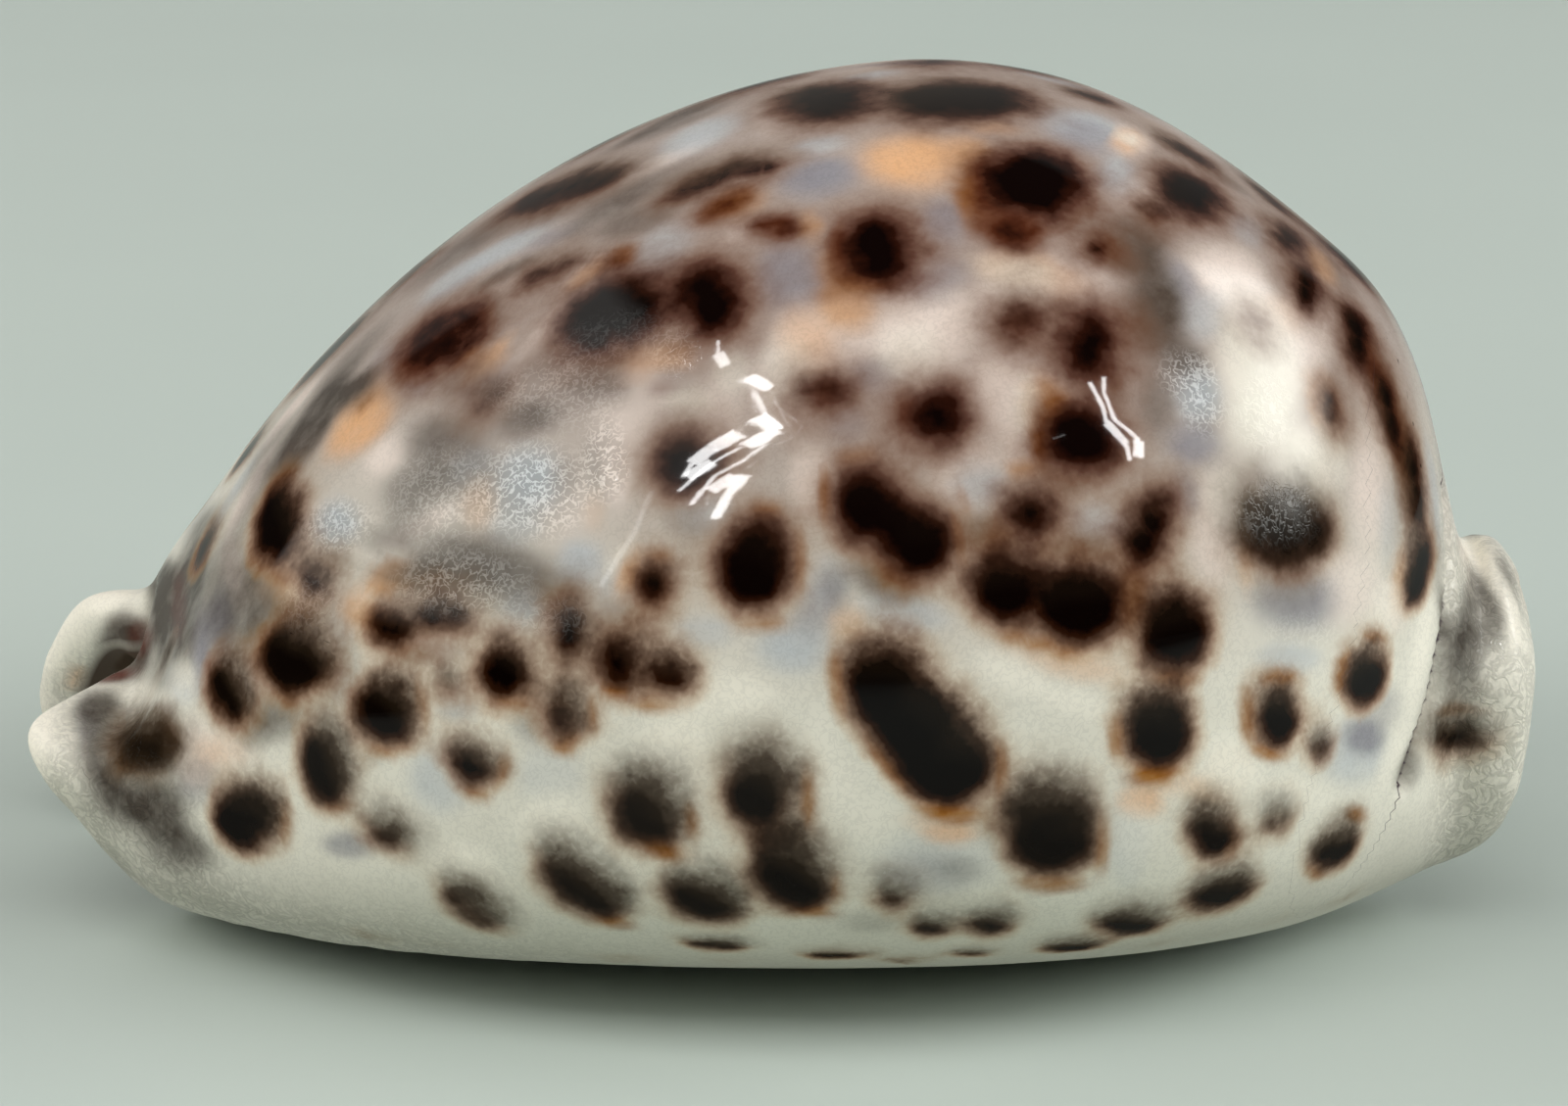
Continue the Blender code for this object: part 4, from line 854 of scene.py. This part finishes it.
def glazed_aragonite(colours):
    """Aragonite laid down in thin coats by the animal and glazed by its mantle.

    The glaze gives a hard clear gloss with a fine orange-peel, over pigment that lies at several
    depths: black-brown spots with a tan rim, blue-grey clouds and warm patches under a milky veil.
    """
    material = bpy.data.materials.new("glazed aragonite, 0.6 mm orange-peel")
    tree = cleared_tree(material)
    place = add(tree, "ShaderNodeTexCoord").outputs["Object"]
    mark = {name: add(tree, "ShaderNodeAttribute", attribute_name=name).outputs["Fac"]
            for name in ("spot", "veil", "lean", *TINTS, "crack", "groove", "worn", "pale", "inside")}

    # Pattern sizes are in millimetres: a noise's scale is 1000 over its size, for a model in metres.
    drift = add(tree, "ShaderNodeTexNoise", {"Vector": place, "Scale": 1000 / 5.0, "Detail": 3.0})
    blot = add(tree, "ShaderNodeTexNoise", {"Vector": place, "Scale": 1000 / 2.2, "Detail": 3.0,
                                            "Roughness": 0.6})
    peel = add(tree, "ShaderNodeTexNoise", {"Vector": place, "Scale": 1000 / 0.6, "Detail": 1.0})
    hair = add(tree, "ShaderNodeTexNoise", {"Vector": place, "Scale": 1000 / 0.38, "Detail": 1.0,
                                            "Distortion": 0.6})
    fold = add(tree, "ShaderNodeTexNoise", {"Vector": place, "Scale": 1000 / 0.9, "Detail": 2.0,
                                            "Roughness": 0.6, "Distortion": 0.9})
    # A worm-like line runs wherever such a noise passes through its middle value.
    worms = []
    for noise_node, wide in ((hair, 0.09), (fold, 0.13)):
        away = add(tree, "ShaderNodeMath", {0: noise_node, 1: 0.5}, operation="SUBTRACT")
        away = add(tree, "ShaderNodeMath", {0: away}, operation="ABSOLUTE")
        worms.append(add(tree, "ShaderNodeMapRange", {"Value": away, "From Min": wide, "From Max": 0.0},
                         interpolation_type="SMOOTHSTEP"))
    along, _, height = add(tree, "ShaderNodeSeparateXYZ", {"Vector": place}).outputs
    high = add(tree, "ShaderNodeMapRange", {"Value": height, "From Min": 0.018, "From Max": 0.036},
               interpolation_type="SMOOTHSTEP")

    # The spots' edges: a slow wobble, and a fray of fine hairs on the upper edges of the lower spots.
    wobble = add(tree, "ShaderNodeMath", {0: blot, 1: 1.6, 2: -0.8}, operation="MULTIPLY_ADD")
    upper = add(tree, "ShaderNodeMapRange", {"Value": mark["lean"], "From Min": 0.3, "From Max": -0.6})
    low = add(tree, "ShaderNodeMath", {0: 1.0, 1: high}, operation="SUBTRACT")
    veiled = add(tree, "ShaderNodeMath", {0: upper, 1: low}, operation="MULTIPLY")
    coarse = add(tree, "ShaderNodeMath", {0: veiled, 1: 0.35, 2: 0.12}, operation="MULTIPLY_ADD")
    fray = add(tree, "ShaderNodeMath", {0: hair, 1: 0.5}, operation="SUBTRACT")
    ragged = add(tree, "ShaderNodeMath", {0: fray, 1: coarse, 2: wobble}, operation="MULTIPLY_ADD")
    slope = add(tree, "ShaderNodeMath", {0: low, 1: 0.4, 2: 1.0}, operation="MULTIPLY_ADD")
    slope = add(tree, "ShaderNodeMath", {0: veiled, 1: -0.45, 2: slope}, operation="MULTIPLY_ADD")
    reach = add(tree, "ShaderNodeMath", {0: mark["spot"], 1: slope, 2: ragged},
                operation="MULTIPLY_ADD")
    step = add(tree, "ShaderNodeMapRange", {"Value": reach, "From Min": -2.0, "From Max": 2.0})
    crisp = add(tree, "ShaderNodeValToRGB", {"Fac": step}, stops=[
        (0.26, "#CDA873", 0.0), (0.37, "#B5813C", 0.30), (0.48, "#8A531B", 0.68),
        (0.58, "#57300F", 0.92), (0.68, "#2C1507", 1.0), (0.79, "#050100", 1.0)])
    milky = add(tree, "ShaderNodeValToRGB", {"Fac": step}, stops=[
        (0.12, "#A39A88", 0.0), (0.34, "#7A6C5C", 0.34), (0.50, "#55432F", 0.72),
        (0.64, "#3B2B1B", 0.95), (0.80, "#2A1F14", 1.0), (1.0, "#1E160E", 1.0)])
    deep = add(tree, "ShaderNodeValToRGB", {"Fac": step}, stops=[
        (0.12, "#8F7462", 0.0), (0.32, "#7C5A46", 0.34), (0.47, "#643A22", 0.70),
        (0.59, "#482110", 0.92), (0.70, "#280F07", 1.0), (0.82, "#0B0302", 1.0)])
    ends = (("Color", "RGBA"), ("Alpha", "FLOAT"))
    drawn = [add(tree, "ShaderNodeMix", {"Factor": high, "A": crisp.outputs[end],
                                         "B": deep.outputs[end]}, data_type=kind)
             for end, kind in ends]
    haze = add(tree, "ShaderNodeMath", {0: upper, 1: 0.6, 2: 0.4}, operation="MULTIPLY_ADD")
    haze = add(tree, "ShaderNodeMath", {0: haze, 1: mark["veil"]}, operation="MULTIPLY")
    haze = add(tree, "ShaderNodeMath", {0: veiled, 1: 0.35, 2: haze}, operation="MULTIPLY_ADD",
               use_clamp=True)
    spot, cover = [add(tree, "ShaderNodeMix", {"Factor": haze, "A": clear, "B": milky.outputs[end]},
                       data_type=kind) for clear, (end, kind) in zip(drawn, ends)]

    # The ground: cream low down and pinkish on the dome, with its tints under the glaze.
    cream = add(tree, "ShaderNodeMix", {"Factor": drift, "A": hex_colour(colours.cream),
                                        "B": hex_colour(colours.ivory)}, data_type="RGBA")
    ground = add(tree, "ShaderNodeMix", {"Factor": high, "A": cream, "B": hex_colour(colours.dome)},
                 data_type="RGBA")
    uneven = add(tree, "ShaderNodeMath", {0: blot, 1: 0.7, 2: 0.65}, operation="MULTIPLY_ADD")
    beside = add(tree, "ShaderNodeMapRange", {"Value": reach, "From Min": -2.6, "From Max": -1.2},
                 interpolation_type="SMOOTHSTEP")
    beside = add(tree, "ShaderNodeMath", {0: beside, 1: uneven}, operation="MULTIPLY")
    for name in ("blush", "mist", "cloud", "amber", "rim", "smoke_and_shade", "wine_and_shade", "milk"):
        amount = add(tree, "ShaderNodeMath", {0: mark[name], 1: beside if name == "rim" else uneven},
                     operation="MULTIPLY", use_clamp=True)
        ground = add(tree, "ShaderNodeMix", {"Factor": amount, "A": ground,
                                             "B": hex_colour(getattr(colours, name))}, data_type="RGBA")
    # Painted shade: the ground is darker towards the table, to half its colour at 1 mm up and fading
    # out by 10 mm, for the shade under the shell's low sides.
    painted_low_shade = add(tree, "ShaderNodeMapRange", {"Value": height, "From Min": 0.001, "From Max": 0.010,
                                              "To Min": 0.5, "To Max": 1.0})
    mottle = add(tree, "ShaderNodeMapRange", {"Value": worms[0], "To Min": 1.03, "To Max": 0.94})
    mottle = add(tree, "ShaderNodeMath", {0: mottle, 1: painted_low_shade}, operation="MULTIPLY")
    ground = add(tree, "ShaderNodeMix", {"Factor": 1.0, "A": ground, "B": mottle}, data_type="RGBA",
                 blend_type="MULTIPLY")
    halo = add(tree, "ShaderNodeMapRange", {"Value": reach, "From Min": -3.2, "From Max": -0.4,
                                            "To Max": 0.25}, interpolation_type="SMOOTHSTEP")
    halo = add(tree, "ShaderNodeMath", {0: halo, 1: high}, operation="MULTIPLY")
    ground = add(tree, "ShaderNodeMix", {"Factor": halo, "A": ground, "B": hex_colour(colours.halo)},
                 data_type="RGBA")
    # Painted sheen: where scuffed glaze mirrors the panes, pale hairs and a pale veil are painted in,
    # and it is darker between them.
    painted_sheen_hairs = []
    for share, rest, plain in ((0.24, 0.08, 0.0), (0.75, -0.28, 1.0)):
        amount = add(tree, "ShaderNodeMath", {0: worms[0], 1: share, 2: rest}, operation="MULTIPLY_ADD")
        painted_sheen_hairs.append(add(tree, "ShaderNodeMath", {0: amount, 1: mark["frost_and_sheen"], 2: plain},
                           operation="MULTIPLY_ADD"))
    ground = add(tree, "ShaderNodeMix", {"Factor": mark["pale"], "A": ground,
                                         "B": hex_colour(colours.base)}, data_type="RGBA")
    shade = add(tree, "ShaderNodeMix", {"Factor": cover, "A": ground, "B": spot}, data_type="RGBA")
    shade = add(tree, "ShaderNodeMix", {"Factor": painted_sheen_hairs[0], "A": shade,
                                        "B": hex_colour(colours.painted_sheen)}, data_type="RGBA")
    shade = add(tree, "ShaderNodeMix", {"Factor": 1.0, "A": shade, "B": painted_sheen_hairs[1]}, data_type="RGBA",
                blend_type="MULTIPLY")
    # Painted shade: the lining of the front canal is dark brown-grey, partly the canal's own brown and
    # partly the shade of its deep recess.
    forward = add(tree, "ShaderNodeMapRange", {"Value": along, "From Min": -0.030,
                                               "From Max": -0.035})
    lining = add(tree, "ShaderNodeMix", {"Factor": forward, "A": hex_colour(colours.hollow),
                                         "B": hex_colour(colours.canal)}, data_type="RGBA")
    shade = add(tree, "ShaderNodeMix", {"Factor": mark["inside"], "A": shade, "B": lining},
                data_type="RGBA")

    # The worn parts, but for those under thick glaze, are darker along thin winding lines and wrinkled.
    bare = add(tree, "ShaderNodeMath", {0: mark["milk"], 1: -0.8, 2: 1.0}, operation="MULTIPLY_ADD")
    bare = add(tree, "ShaderNodeMath", {0: mark["worn"], 1: bare}, operation="MULTIPLY")
    dark_winding_lines = add(tree, "ShaderNodeMath", {0: bare, 1: worms[1]}, operation="MULTIPLY")
    dark_winding_lines = add(tree, "ShaderNodeMapRange", {"Value": dark_winding_lines, "To Min": 1.03, "To Max": 0.80})
    shade = add(tree, "ShaderNodeMix", {"Factor": 1.0, "A": shade, "B": dark_winding_lines}, data_type="RGBA",
                blend_type="MULTIPLY")

    # The hairline cracks, and painted shade in the sharp groove before the back flange: a dark
    # purple-grey line down it.
    for name, thin, colour in (("crack", 1.0, "#140B07"), ("groove", 0.3, "#4A3C42")):
        away = add(tree, "ShaderNodeMath", {0: mark[name]}, operation="ABSOLUTE")
        line = add(tree, "ShaderNodeMapRange", {"Value": away, "From Min": thin,
                                                "From Max": 0.3 * thin})
        shade = add(tree, "ShaderNodeMix", {"Factor": line, "A": shade, "B": hex_colour(colour)},
                    data_type="RGBA")

    # Relief in millimetres: peel of the glaze everywhere, hairs where it is frosted, folds where worn.
    frosted = add(tree, "ShaderNodeMath", {0: mark["frost_and_sheen"], 1: 0.012}, operation="MULTIPLY")
    frosted = add(tree, "ShaderNodeMath", {0: worms[0], 1: frosted}, operation="MULTIPLY")
    wrinkled = add(tree, "ShaderNodeMath", {0: bare, 1: 0.025}, operation="MULTIPLY")
    wrinkled = add(tree, "ShaderNodeMath", {0: worms[1], 1: wrinkled, 2: frosted},
                   operation="MULTIPLY_ADD")
    relief = add(tree, "ShaderNodeMath", {0: peel, 1: 0.0008, 2: wrinkled}, operation="MULTIPLY_ADD")
    bump = add(tree, "ShaderNodeBump", {"Height": relief, "Distance": MM})
    gloss = add(tree, "ShaderNodeMapRange", {"Value": height, "From Min": 0.012, "From Max": 0.026,
                                             "To Min": 0.2, "To Max": 0.55})
    shader = add(tree, "ShaderNodeBsdfPrincipled", {
        "Base Color": shade, "Roughness": 0.5, "IOR": 1.53, "Specular IOR Level": 0.0,
        "Coat Weight": gloss, "Coat Roughness": 0.04, "Coat IOR": 1.46,
        "Normal": bump, "Coat Normal": bump})
    add(tree, "ShaderNodeOutputMaterial", {"Surface": shader})
    return material


def painted_board(colour):
    """A smooth board with matt paint, pale and even. Its near end is darker in the glaze's mirror."""
    material = bpy.data.materials.new("matt painted board")
    tree = cleared_tree(material)
    place = add(tree, "ShaderNodeTexCoord").outputs["Object"]
    uneven = add(tree, "ShaderNodeTexNoise", {"Vector": place, "Scale": 1000 / 60.0, "Detail": 2.0})
    tone = add(tree, "ShaderNodeMapRange", {"Value": uneven, "To Min": 0.97, "To Max": 1.03})
    nearer = add(tree, "ShaderNodeSeparateXYZ", {"Vector": place}).outputs["Y"]
    mirrored_tone = add(tree, "ShaderNodeMapRange", {"Value": nearer, "From Min": -0.4,
                                                     "From Max": -0.05, "To Min": 0.1},
                        interpolation_type="SMOOTHSTEP")
    looked_at = add(tree, "ShaderNodeLightPath").outputs["Is Camera Ray"]
    even = add(tree, "ShaderNodeMath", {0: mirrored_tone, 1: looked_at}, operation="MAXIMUM")
    tone = add(tree, "ShaderNodeMath", {0: tone, 1: even}, operation="MULTIPLY")
    paint = add(tree, "ShaderNodeMix", {"Factor": 1.0, "A": hex_colour(colour), "B": tone},
                data_type="RGBA", blend_type="MULTIPLY")
    shader = add(tree, "ShaderNodeBsdfPrincipled", {"Base Color": paint, "Roughness": 0.6})
    add(tree, "ShaderNodeOutputMaterial", {"Surface": shader})
    return material


# ---------------------------------------------------------------- the add-on

class ShellSettings(bpy.types.PropertyGroup):
    groove_depth: FloatProperty(
        name="Groove depth", description="Depth of the groove before the back flange", default=0.8 * MM,
        unit="LENGTH")
    wrinkle_height: FloatProperty(
        name="Wrinkle height", description="Height of the folds in the worn parts", default=0.07 * MM,
        unit="LENGTH")
    wave_height: FloatProperty(
        name="Wave height", description="Height of the slow waves in the glaze", default=0.05 * MM,
        unit="LENGTH")
    cream: StringProperty(
        name="Cream", description="Lighter ground of the sides, sRGB hex", default="#EDE9DA")
    ivory: StringProperty(
        name="Ivory", description="Darker ground of the sides, sRGB hex", default="#DED9CA")
    dome: StringProperty(name="Dome", description="Ground of the dome, sRGB hex", default="#AFA197")
    blush: StringProperty(
        name="Blush", description="Light pinkish patches, sRGB hex", default="#EADACE")
    mist: StringProperty(
        name="Mist", description="Light blue-grey patches, sRGB hex", default="#BCC1C3")
    cloud: StringProperty(name="Cloud", description="Lavender-grey clouds, sRGB hex", default="#8F8D92")
    amber: StringProperty(name="Amber", description="Peach patches, sRGB hex", default="#E2B083")
    rim: StringProperty(
        name="Rim", description="Burnt orange beside spots, sRGB hex", default="#945C22")
    # Dark grey-brown, also used as painted shade in and beside the front canal.
    smoke_and_shade: StringProperty(
        name="Smoke", description="Dark grey-brown patches, sRGB hex", default="#4E463E")
    # Deep red-brown, also used as painted shade in the gap under the front canal.
    wine_and_shade: StringProperty(name="Wine", description="Deep red-brown patches, sRGB hex", default="#5A3026")
    halo: StringProperty(
        name="Halo", description="Wine-brown around the dome's spots, sRGB hex", default="#6E4A38")
    # Painted sheen: the colour of the pale veil and hairs painted in where scuffed glaze mirrors the
    # panes.
    painted_sheen: StringProperty(
        name="Scuff", description="Pale hairs added in scuffed glaze, sRGB hex", default="#B4B6B4")
    milk: StringProperty(name="Milk", description="Thick pale glaze, sRGB hex", default="#F6F0E0")
    base: StringProperty(name="Base", description="Base and teeth, sRGB hex", default="#E6E2D6")
    hollow: StringProperty(
        name="Hollow", description="Inside of the shell, sRGB hex", default="#C9C0C4")
    # Partly painted shade of the deep front canal, partly its brown.
    canal: StringProperty(
        name="Canal", description="Inside of the front canal, sRGB hex", default="#4E4136")


class StageSettings(bpy.types.PropertyGroup):
    board_size: FloatProperty(
        name="Board size", description="Side of the table board", default=4.0, unit="LENGTH")
    board_colour: StringProperty(
        name="Board colour", description="Paint of the board, sRGB hex", default="#BEC8C0")
    left_light: FloatProperty(
        name="Left light", description="Radiance of the lamp at the front end", default=3.6)
    right_light: FloatProperty(
        name="Right light", description="Radiance of the lamp at the back end", default=5.6)
    front_light: FloatProperty(
        name="Front light", description="Radiance of the lamp above the front", default=2.4)
    back_light: FloatProperty(
        name="Back light", description="Radiance of the lamp behind the shell", default=1.2)
    left_pane: FloatProperty(
        name="Left pane", description="Radiance mirrored at the front end", default=1.0)
    right_pane: FloatProperty(
        name="Right pane", description="Radiance mirrored at the back end", default=7.0)
    wall_light: FloatProperty(
        name="Wall light", description="Radiance of the pale wall behind", default=0.25)
    room_light: FloatProperty(
        name="Room light", description="Radiance of the rest of the room", default=0.03)


def deselect_all():
    for item in bpy.context.view_layer.objects:
        item.select_set(False)
    bpy.context.view_layer.objects.active = None


class ShellOperator(bpy.types.Operator):
    """Model the shell, lay its markings on it and glaze it"""
    bl_idname = "cowrie.shell"
    bl_label = "Shell"

    def execute(self, context):
        settings = context.scene.cowrie_shell
        deselect_all()
        table = shell_table()
        rings, count = table.shape[:2]
        normals = table_normals(table)
        surface = Surface(table[:OUTER_RINGS], normals[:OUTER_RINGS])
        marks = draw_markings(surface)
        table[:OUTER_RINGS] = add_relief(table[:OUTER_RINGS], normals[:OUTER_RINGS], marks, settings)
        bpy.ops.mesh.primitive_uv_sphere_add(segments=count, ring_count=rings + 1, radius=1.0)
        shell = context.object
        shell.name = "glazed_shell"
        draw_out(shell, table, OUTSIDE(TOP_POINT) + ALONG, HOLLOW(TOP_POINT) + ALONG, marks)
        bpy.ops.object.shade_smooth()
        shell.data.materials.append(glazed_aragonite(settings))
        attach(shell, "root")
        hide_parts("shell")
        return {"FINISHED"}


LAMP_DISTANCE, STREAK_DISTANCE = 1.6, 0.6       # metres
LENS = 102.9            # focal length with which the shell fills the view, in millimetres


def pointed(item, place, target):
    """Put a lamp or camera at a place, looking at the target."""
    item.location = place
    item.rotation_euler = (Vector(target) - Vector(place)).to_track_quat("-Z", "Y").to_euler()


def frame_toward(azimuth, elevation, roll=0.0):
    """The ways towards, across and up a pane, with azimuth from the columellar side to the back end."""
    turn, climb = radians(azimuth), radians(elevation)
    way = Vector((sin(turn) * cos(climb), -cos(turn) * cos(climb), sin(climb)))
    across = Vector((cos(turn), sin(turn), 0.0))
    across.rotate(Quaternion(way, radians(roll)))
    return way, across, way.cross(across)


def area_lamp(name, wide, tall, radiance):
    """A lamp of this radiance that isn't seen itself."""
    bpy.ops.object.light_add(type="AREA")
    lamp = bpy.context.object
    lamp.name = name
    lamp.data.shape = "RECTANGLE"
    lamp.data.size, lamp.data.size_y = wide, tall
    lamp.data.energy = radiance * pi * wide * tall
    lamp.visible_camera = False
    return lamp


def add_lamp(name, azimuth, elevation, wide, tall, radiance, colour=(1.0, 1.0, 1.0)):
    """A broad soft lamp, its size in degrees, that lights the shell but isn't mirrored in its glaze."""
    middle = Vector(SIGHT_MIDDLE) * MM
    sides = [2 * LAMP_DISTANCE * tan(radians(angle / 2)) for angle in (wide, tall)]
    lamp = area_lamp(name, *sides, radiance)
    lamp.data.color = colour
    lamp.visible_glossy = False
    pointed(lamp, middle + frame_toward(azimuth, elevation)[0] * LAMP_DISTANCE, middle)


# Highlights on the glaze: (width, radiance, places along it), drawn in millimetres, in thin lamps.
STREAKS = [
    (0.10, 30, [(-3.8, 12.3), (-3.7, 11.4), (-3.4, 10.6)]),
    (0.16, 40, [(-3.4, 10.6), (-2.0, 10.2), (-0.9, 9.1), (0.5, 7.3)]),
    (0.16, 40, [(-2.8, 9.7), (-1.7, 9.1), (-0.9, 8.1), (0.0, 7.2)]),
    (0.16, 40, [(-1.9, 8.9), (-1.5, 8.0), (-0.5, 6.7)]),
    (0.12, 40, [(-0.7, 8.9), (0.3, 7.8), (1.2, 7.1)]),
    (0.14, 40, [(1.2, 7.0), (0.0, 6.3), (-1.2, 6.0), (-2.4, 5.2)]),
    (0.26, 40, [(-1.9, 7.3), (-2.6, 6.6), (-4.1, 6.0), (-5.2, 5.2), (-5.6, 4.5)]),
    (0.20, 40, [(-0.4, 6.9), (-2.2, 6.2), (-4.0, 5.4), (-5.5, 4.2)]),
    (0.14, 40, [(-0.8, 6.4), (-2.4, 5.7), (-4.2, 4.8), (-5.9, 3.6)]),
    (0.20, 40, [(-2.4, 5.2), (-4.0, 4.2), (-5.1, 3.0)]),
    (0.20, 40, [(-1.2, 5.6), (-2.9, 4.5), (-4.2, 3.3), (-4.6, 2.4)]),
    (0.44, 40, [(-2.2, 4.4), (-3.1, 3.6), (-3.8, 2.1)]),
    (0.30, 40, [(17.5, 9.5), (17.9, 8.6), (18.5, 7.3), (19.3, 6.4), (19.8, 5.1)]),
    (0.26, 40, [(18.3, 9.9), (18.3, 8.8), (18.9, 7.6), (20.1, 6.6), (20.2, 5.2)]),
    (0.55, 8, [(15.8, 7.1), (15.4, 6.3)]), (0.3, 5, [(-7.6, 3.2), (-8.6, 1.0), (-10.2, -1.8)]),
]


def mirrored(shell, place):
    """Where a place of the drawing mirrors the line of sight to, at the streak lamps' distance."""
    eye, across, up, forward = sight()
    way = Vector(forward * SIGHT_DISTANCE + across * place[0] + up * place[1]).normalized()
    hit, point, _, face = shell.ray_cast(Vector(eye) * MM, way)
    if not hit:
        raise RuntimeError("A highlight's place is beside the shell")
    corners = shell.data.polygons[face].vertices
    normal = sum((shell.data.vertices[i].normal for i in corners), Vector()).normalized()
    return point + way.reflect(normal) * STREAK_DISTANCE


def add_streak(shell, start, stop, wide, radiance):
    """A lamp that the shell mirrors to the eye as a streak between two places of the drawing."""
    start, stop = np.array(start), np.array(stop)
    along = unit(stop - start)
    beside = np.array((-along[1], along[0])) * wide / 2
    middle = (start + stop) / 2
    ends = [mirrored(shell, place) for place in (start, stop)]
    edges = [mirrored(shell, place) for place in (middle - beside, middle + beside)]
    centre = (ends[0] + ends[1]) / 2
    z = (centre - Vector(SIGHT_MIDDLE) * MM).normalized()
    x = ends[1] - ends[0]
    x = (x - x.dot(z) * z).normalized()
    y = z.cross(x)
    lamp = area_lamp("streak_lamp", (ends[1] - ends[0]).length,
                     abs((edges[1] - edges[0]).dot(y)), radiance)
    lamp.visible_diffuse = False
    lamp.location = centre
    lamp.rotation_euler = Matrix((x, y, z)).transposed().to_euler()


# Panes: azimuth and elevation, width and height in degrees, roll, and how soft the edge is.
LEFT_PANE = (-81, 40, 74, 43, 0, 0.03)
RIGHT_PANE = (107.5, 26.2, 42, 11.6, 30, 0.05)
FILL_LIGHT = 0.07       # what the room adds to everything that isn't mirrored


def add_pane(tree, way, azimuth, elevation, wide, tall, roll, soft, radiance):
    """The light of a soft-edged window pane, for every way of the room."""
    toward, across, up = (add(tree, "ShaderNodeVectorMath", {0: way, 1: axis}, operation="DOT_PRODUCT")
                          for axis in frame_toward(azimuth, elevation, roll))
    share = add(tree, "ShaderNodeMath", {0: toward, 1: 0.0}, operation="GREATER_THAN")
    for axis, angle in ((across, wide), (up, tall)):
        off = add(tree, "ShaderNodeMath", {0: axis, 1: toward}, operation="DIVIDE")
        off = add(tree, "ShaderNodeMath", {0: off}, operation="ABSOLUTE")
        edge = tan(radians(angle / 2))
        inside = add(tree, "ShaderNodeMapRange", {"Value": off, "From Min": edge + soft,
                                                  "From Max": edge - soft},
                     interpolation_type="SMOOTHSTEP")
        share = add(tree, "ShaderNodeMath", {0: share, 1: inside}, operation="MULTIPLY")
    return add(tree, "ShaderNodeMath", {0: share, 1: radiance}, operation="MULTIPLY")


def light_room(world, left, right, wall, room):
    """What the glaze mirrors: a dark room, a pale wall behind up to 45 degrees high, and two panes."""
    tree = cleared_tree(world)
    toward = add(tree, "ShaderNodeTexCoord").outputs["Generated"]
    way = add(tree, "ShaderNodeSeparateXYZ", {0: toward})
    side = add(tree, "ShaderNodeMath", {0: way.outputs["X"]}, operation="ABSOLUTE")
    inward = add(tree, "ShaderNodeMath", {0: side, 1: -1.19, 2: way.outputs["Y"]},
                 operation="MULTIPLY_ADD")
    behind = add(tree, "ShaderNodeMapRange", {"Value": inward, "From Min": -0.02, "From Max": 0.04})
    below = add(tree, "ShaderNodeMapRange", {"Value": way.outputs["Z"], "From Min": 0.745,
                                             "From Max": 0.715})
    share = add(tree, "ShaderNodeMath", {0: behind, 1: below}, operation="MULTIPLY")
    light = add(tree, "ShaderNodeMapRange", {"Value": share, "To Min": room, "To Max": wall})
    for pane in ((*LEFT_PANE, left), (*RIGHT_PANE, right)):
        light = add(tree, "ShaderNodeMath", {0: light, 1: add_pane(tree, toward, *pane)})
    shine = add(tree, "ShaderNodeLightPath").outputs["Is Glossy Ray"]
    light = add(tree, "ShaderNodeMix", {"Factor": shine, "A": FILL_LIGHT, "B": light},
                data_type="FLOAT")
    shader = add(tree, "ShaderNodeBackground", {"Color": hex_colour("#F4F6F2"), "Strength": light})
    add(tree, "ShaderNodeOutputWorld", {"Surface": shader})


class StageOperator(bpy.types.Operator):
    """Lay the table board, hang the lamps and set up the camera"""
    bl_idname = "cowrie.stage"
    bl_label = "Stage"

    def execute(self, context):
        stage = context.scene.cowrie_stage
        shell = bpy.data.objects["glazed_shell"]
        deselect_all()
        bpy.ops.mesh.primitive_plane_add(size=stage.board_size)
        board = context.object
        board.name = "table_board"
        board.data.materials.append(painted_board(stage.board_colour))
        add_lamp("left_lamp", -72, 34, 40, 30, stage.left_light, (1.0, 0.99, 0.97))
        add_lamp("right_lamp", 76, 32, 40, 30, stage.right_light, (0.98, 0.99, 1.0))
        add_lamp("front_lamp", -5, 62, 60, 30, stage.front_light)
        add_lamp("back_lamp", -140, 48, 46, 30, stage.back_light)
        context.view_layer.update()
        for wide, radiance, drawn in STREAKS:
            for start, stop in zip(drawn, drawn[1:]):
                add_streak(shell, start, stop, wide, radiance)
        context.scene.world = context.scene.world or bpy.data.worlds.new("room")
        light_room(context.scene.world, stage.left_pane, stage.right_pane, stage.wall_light,
                   stage.room_light)
        bpy.ops.object.camera_add()
        camera = context.object
        camera.data.lens = LENS
        camera.data.clip_start = 0.01
        pointed(camera, Vector(sight()[0]) * MM, Vector(SIGHT_MIDDLE) * MM)
        context.scene.camera = camera
        context.scene.view_settings.view_transform = "Standard"
        return {"FINISHED"}


class CowriePanel(bpy.types.Panel):
    """The shell's sizes and colours, and the stage"""
    bl_idname = "VIEW3D_PT_cowrie"
    bl_label = "Tiger cowrie"
    bl_space_type = "VIEW_3D"
    bl_region_type = "UI"
    bl_category = "Cowrie"

    def draw(self, context):
        for settings, operator in ((context.scene.cowrie_shell, ShellOperator),
                                   (context.scene.cowrie_stage, StageOperator)):
            box = self.layout.box()
            for name in type(settings).__annotations__:
                box.prop(settings, name)
            box.operator(operator.bl_idname)


CLASSES = (ShellSettings, StageSettings, ShellOperator, StageOperator, CowriePanel)


def register():
    for item in CLASSES:
        bpy.utils.register_class(item)
    bpy.types.Scene.cowrie_shell = PointerProperty(type=ShellSettings)
    bpy.types.Scene.cowrie_stage = PointerProperty(type=StageSettings)


def unregister():
    del bpy.types.Scene.cowrie_stage
    del bpy.types.Scene.cowrie_shell
    for item in reversed(CLASSES):
        bpy.utils.unregister_class(item)


def main():
    register()
    bpy.ops.cowrie.shell()
    bpy.ops.cowrie.stage()


if __name__ == "__main__":
    main()
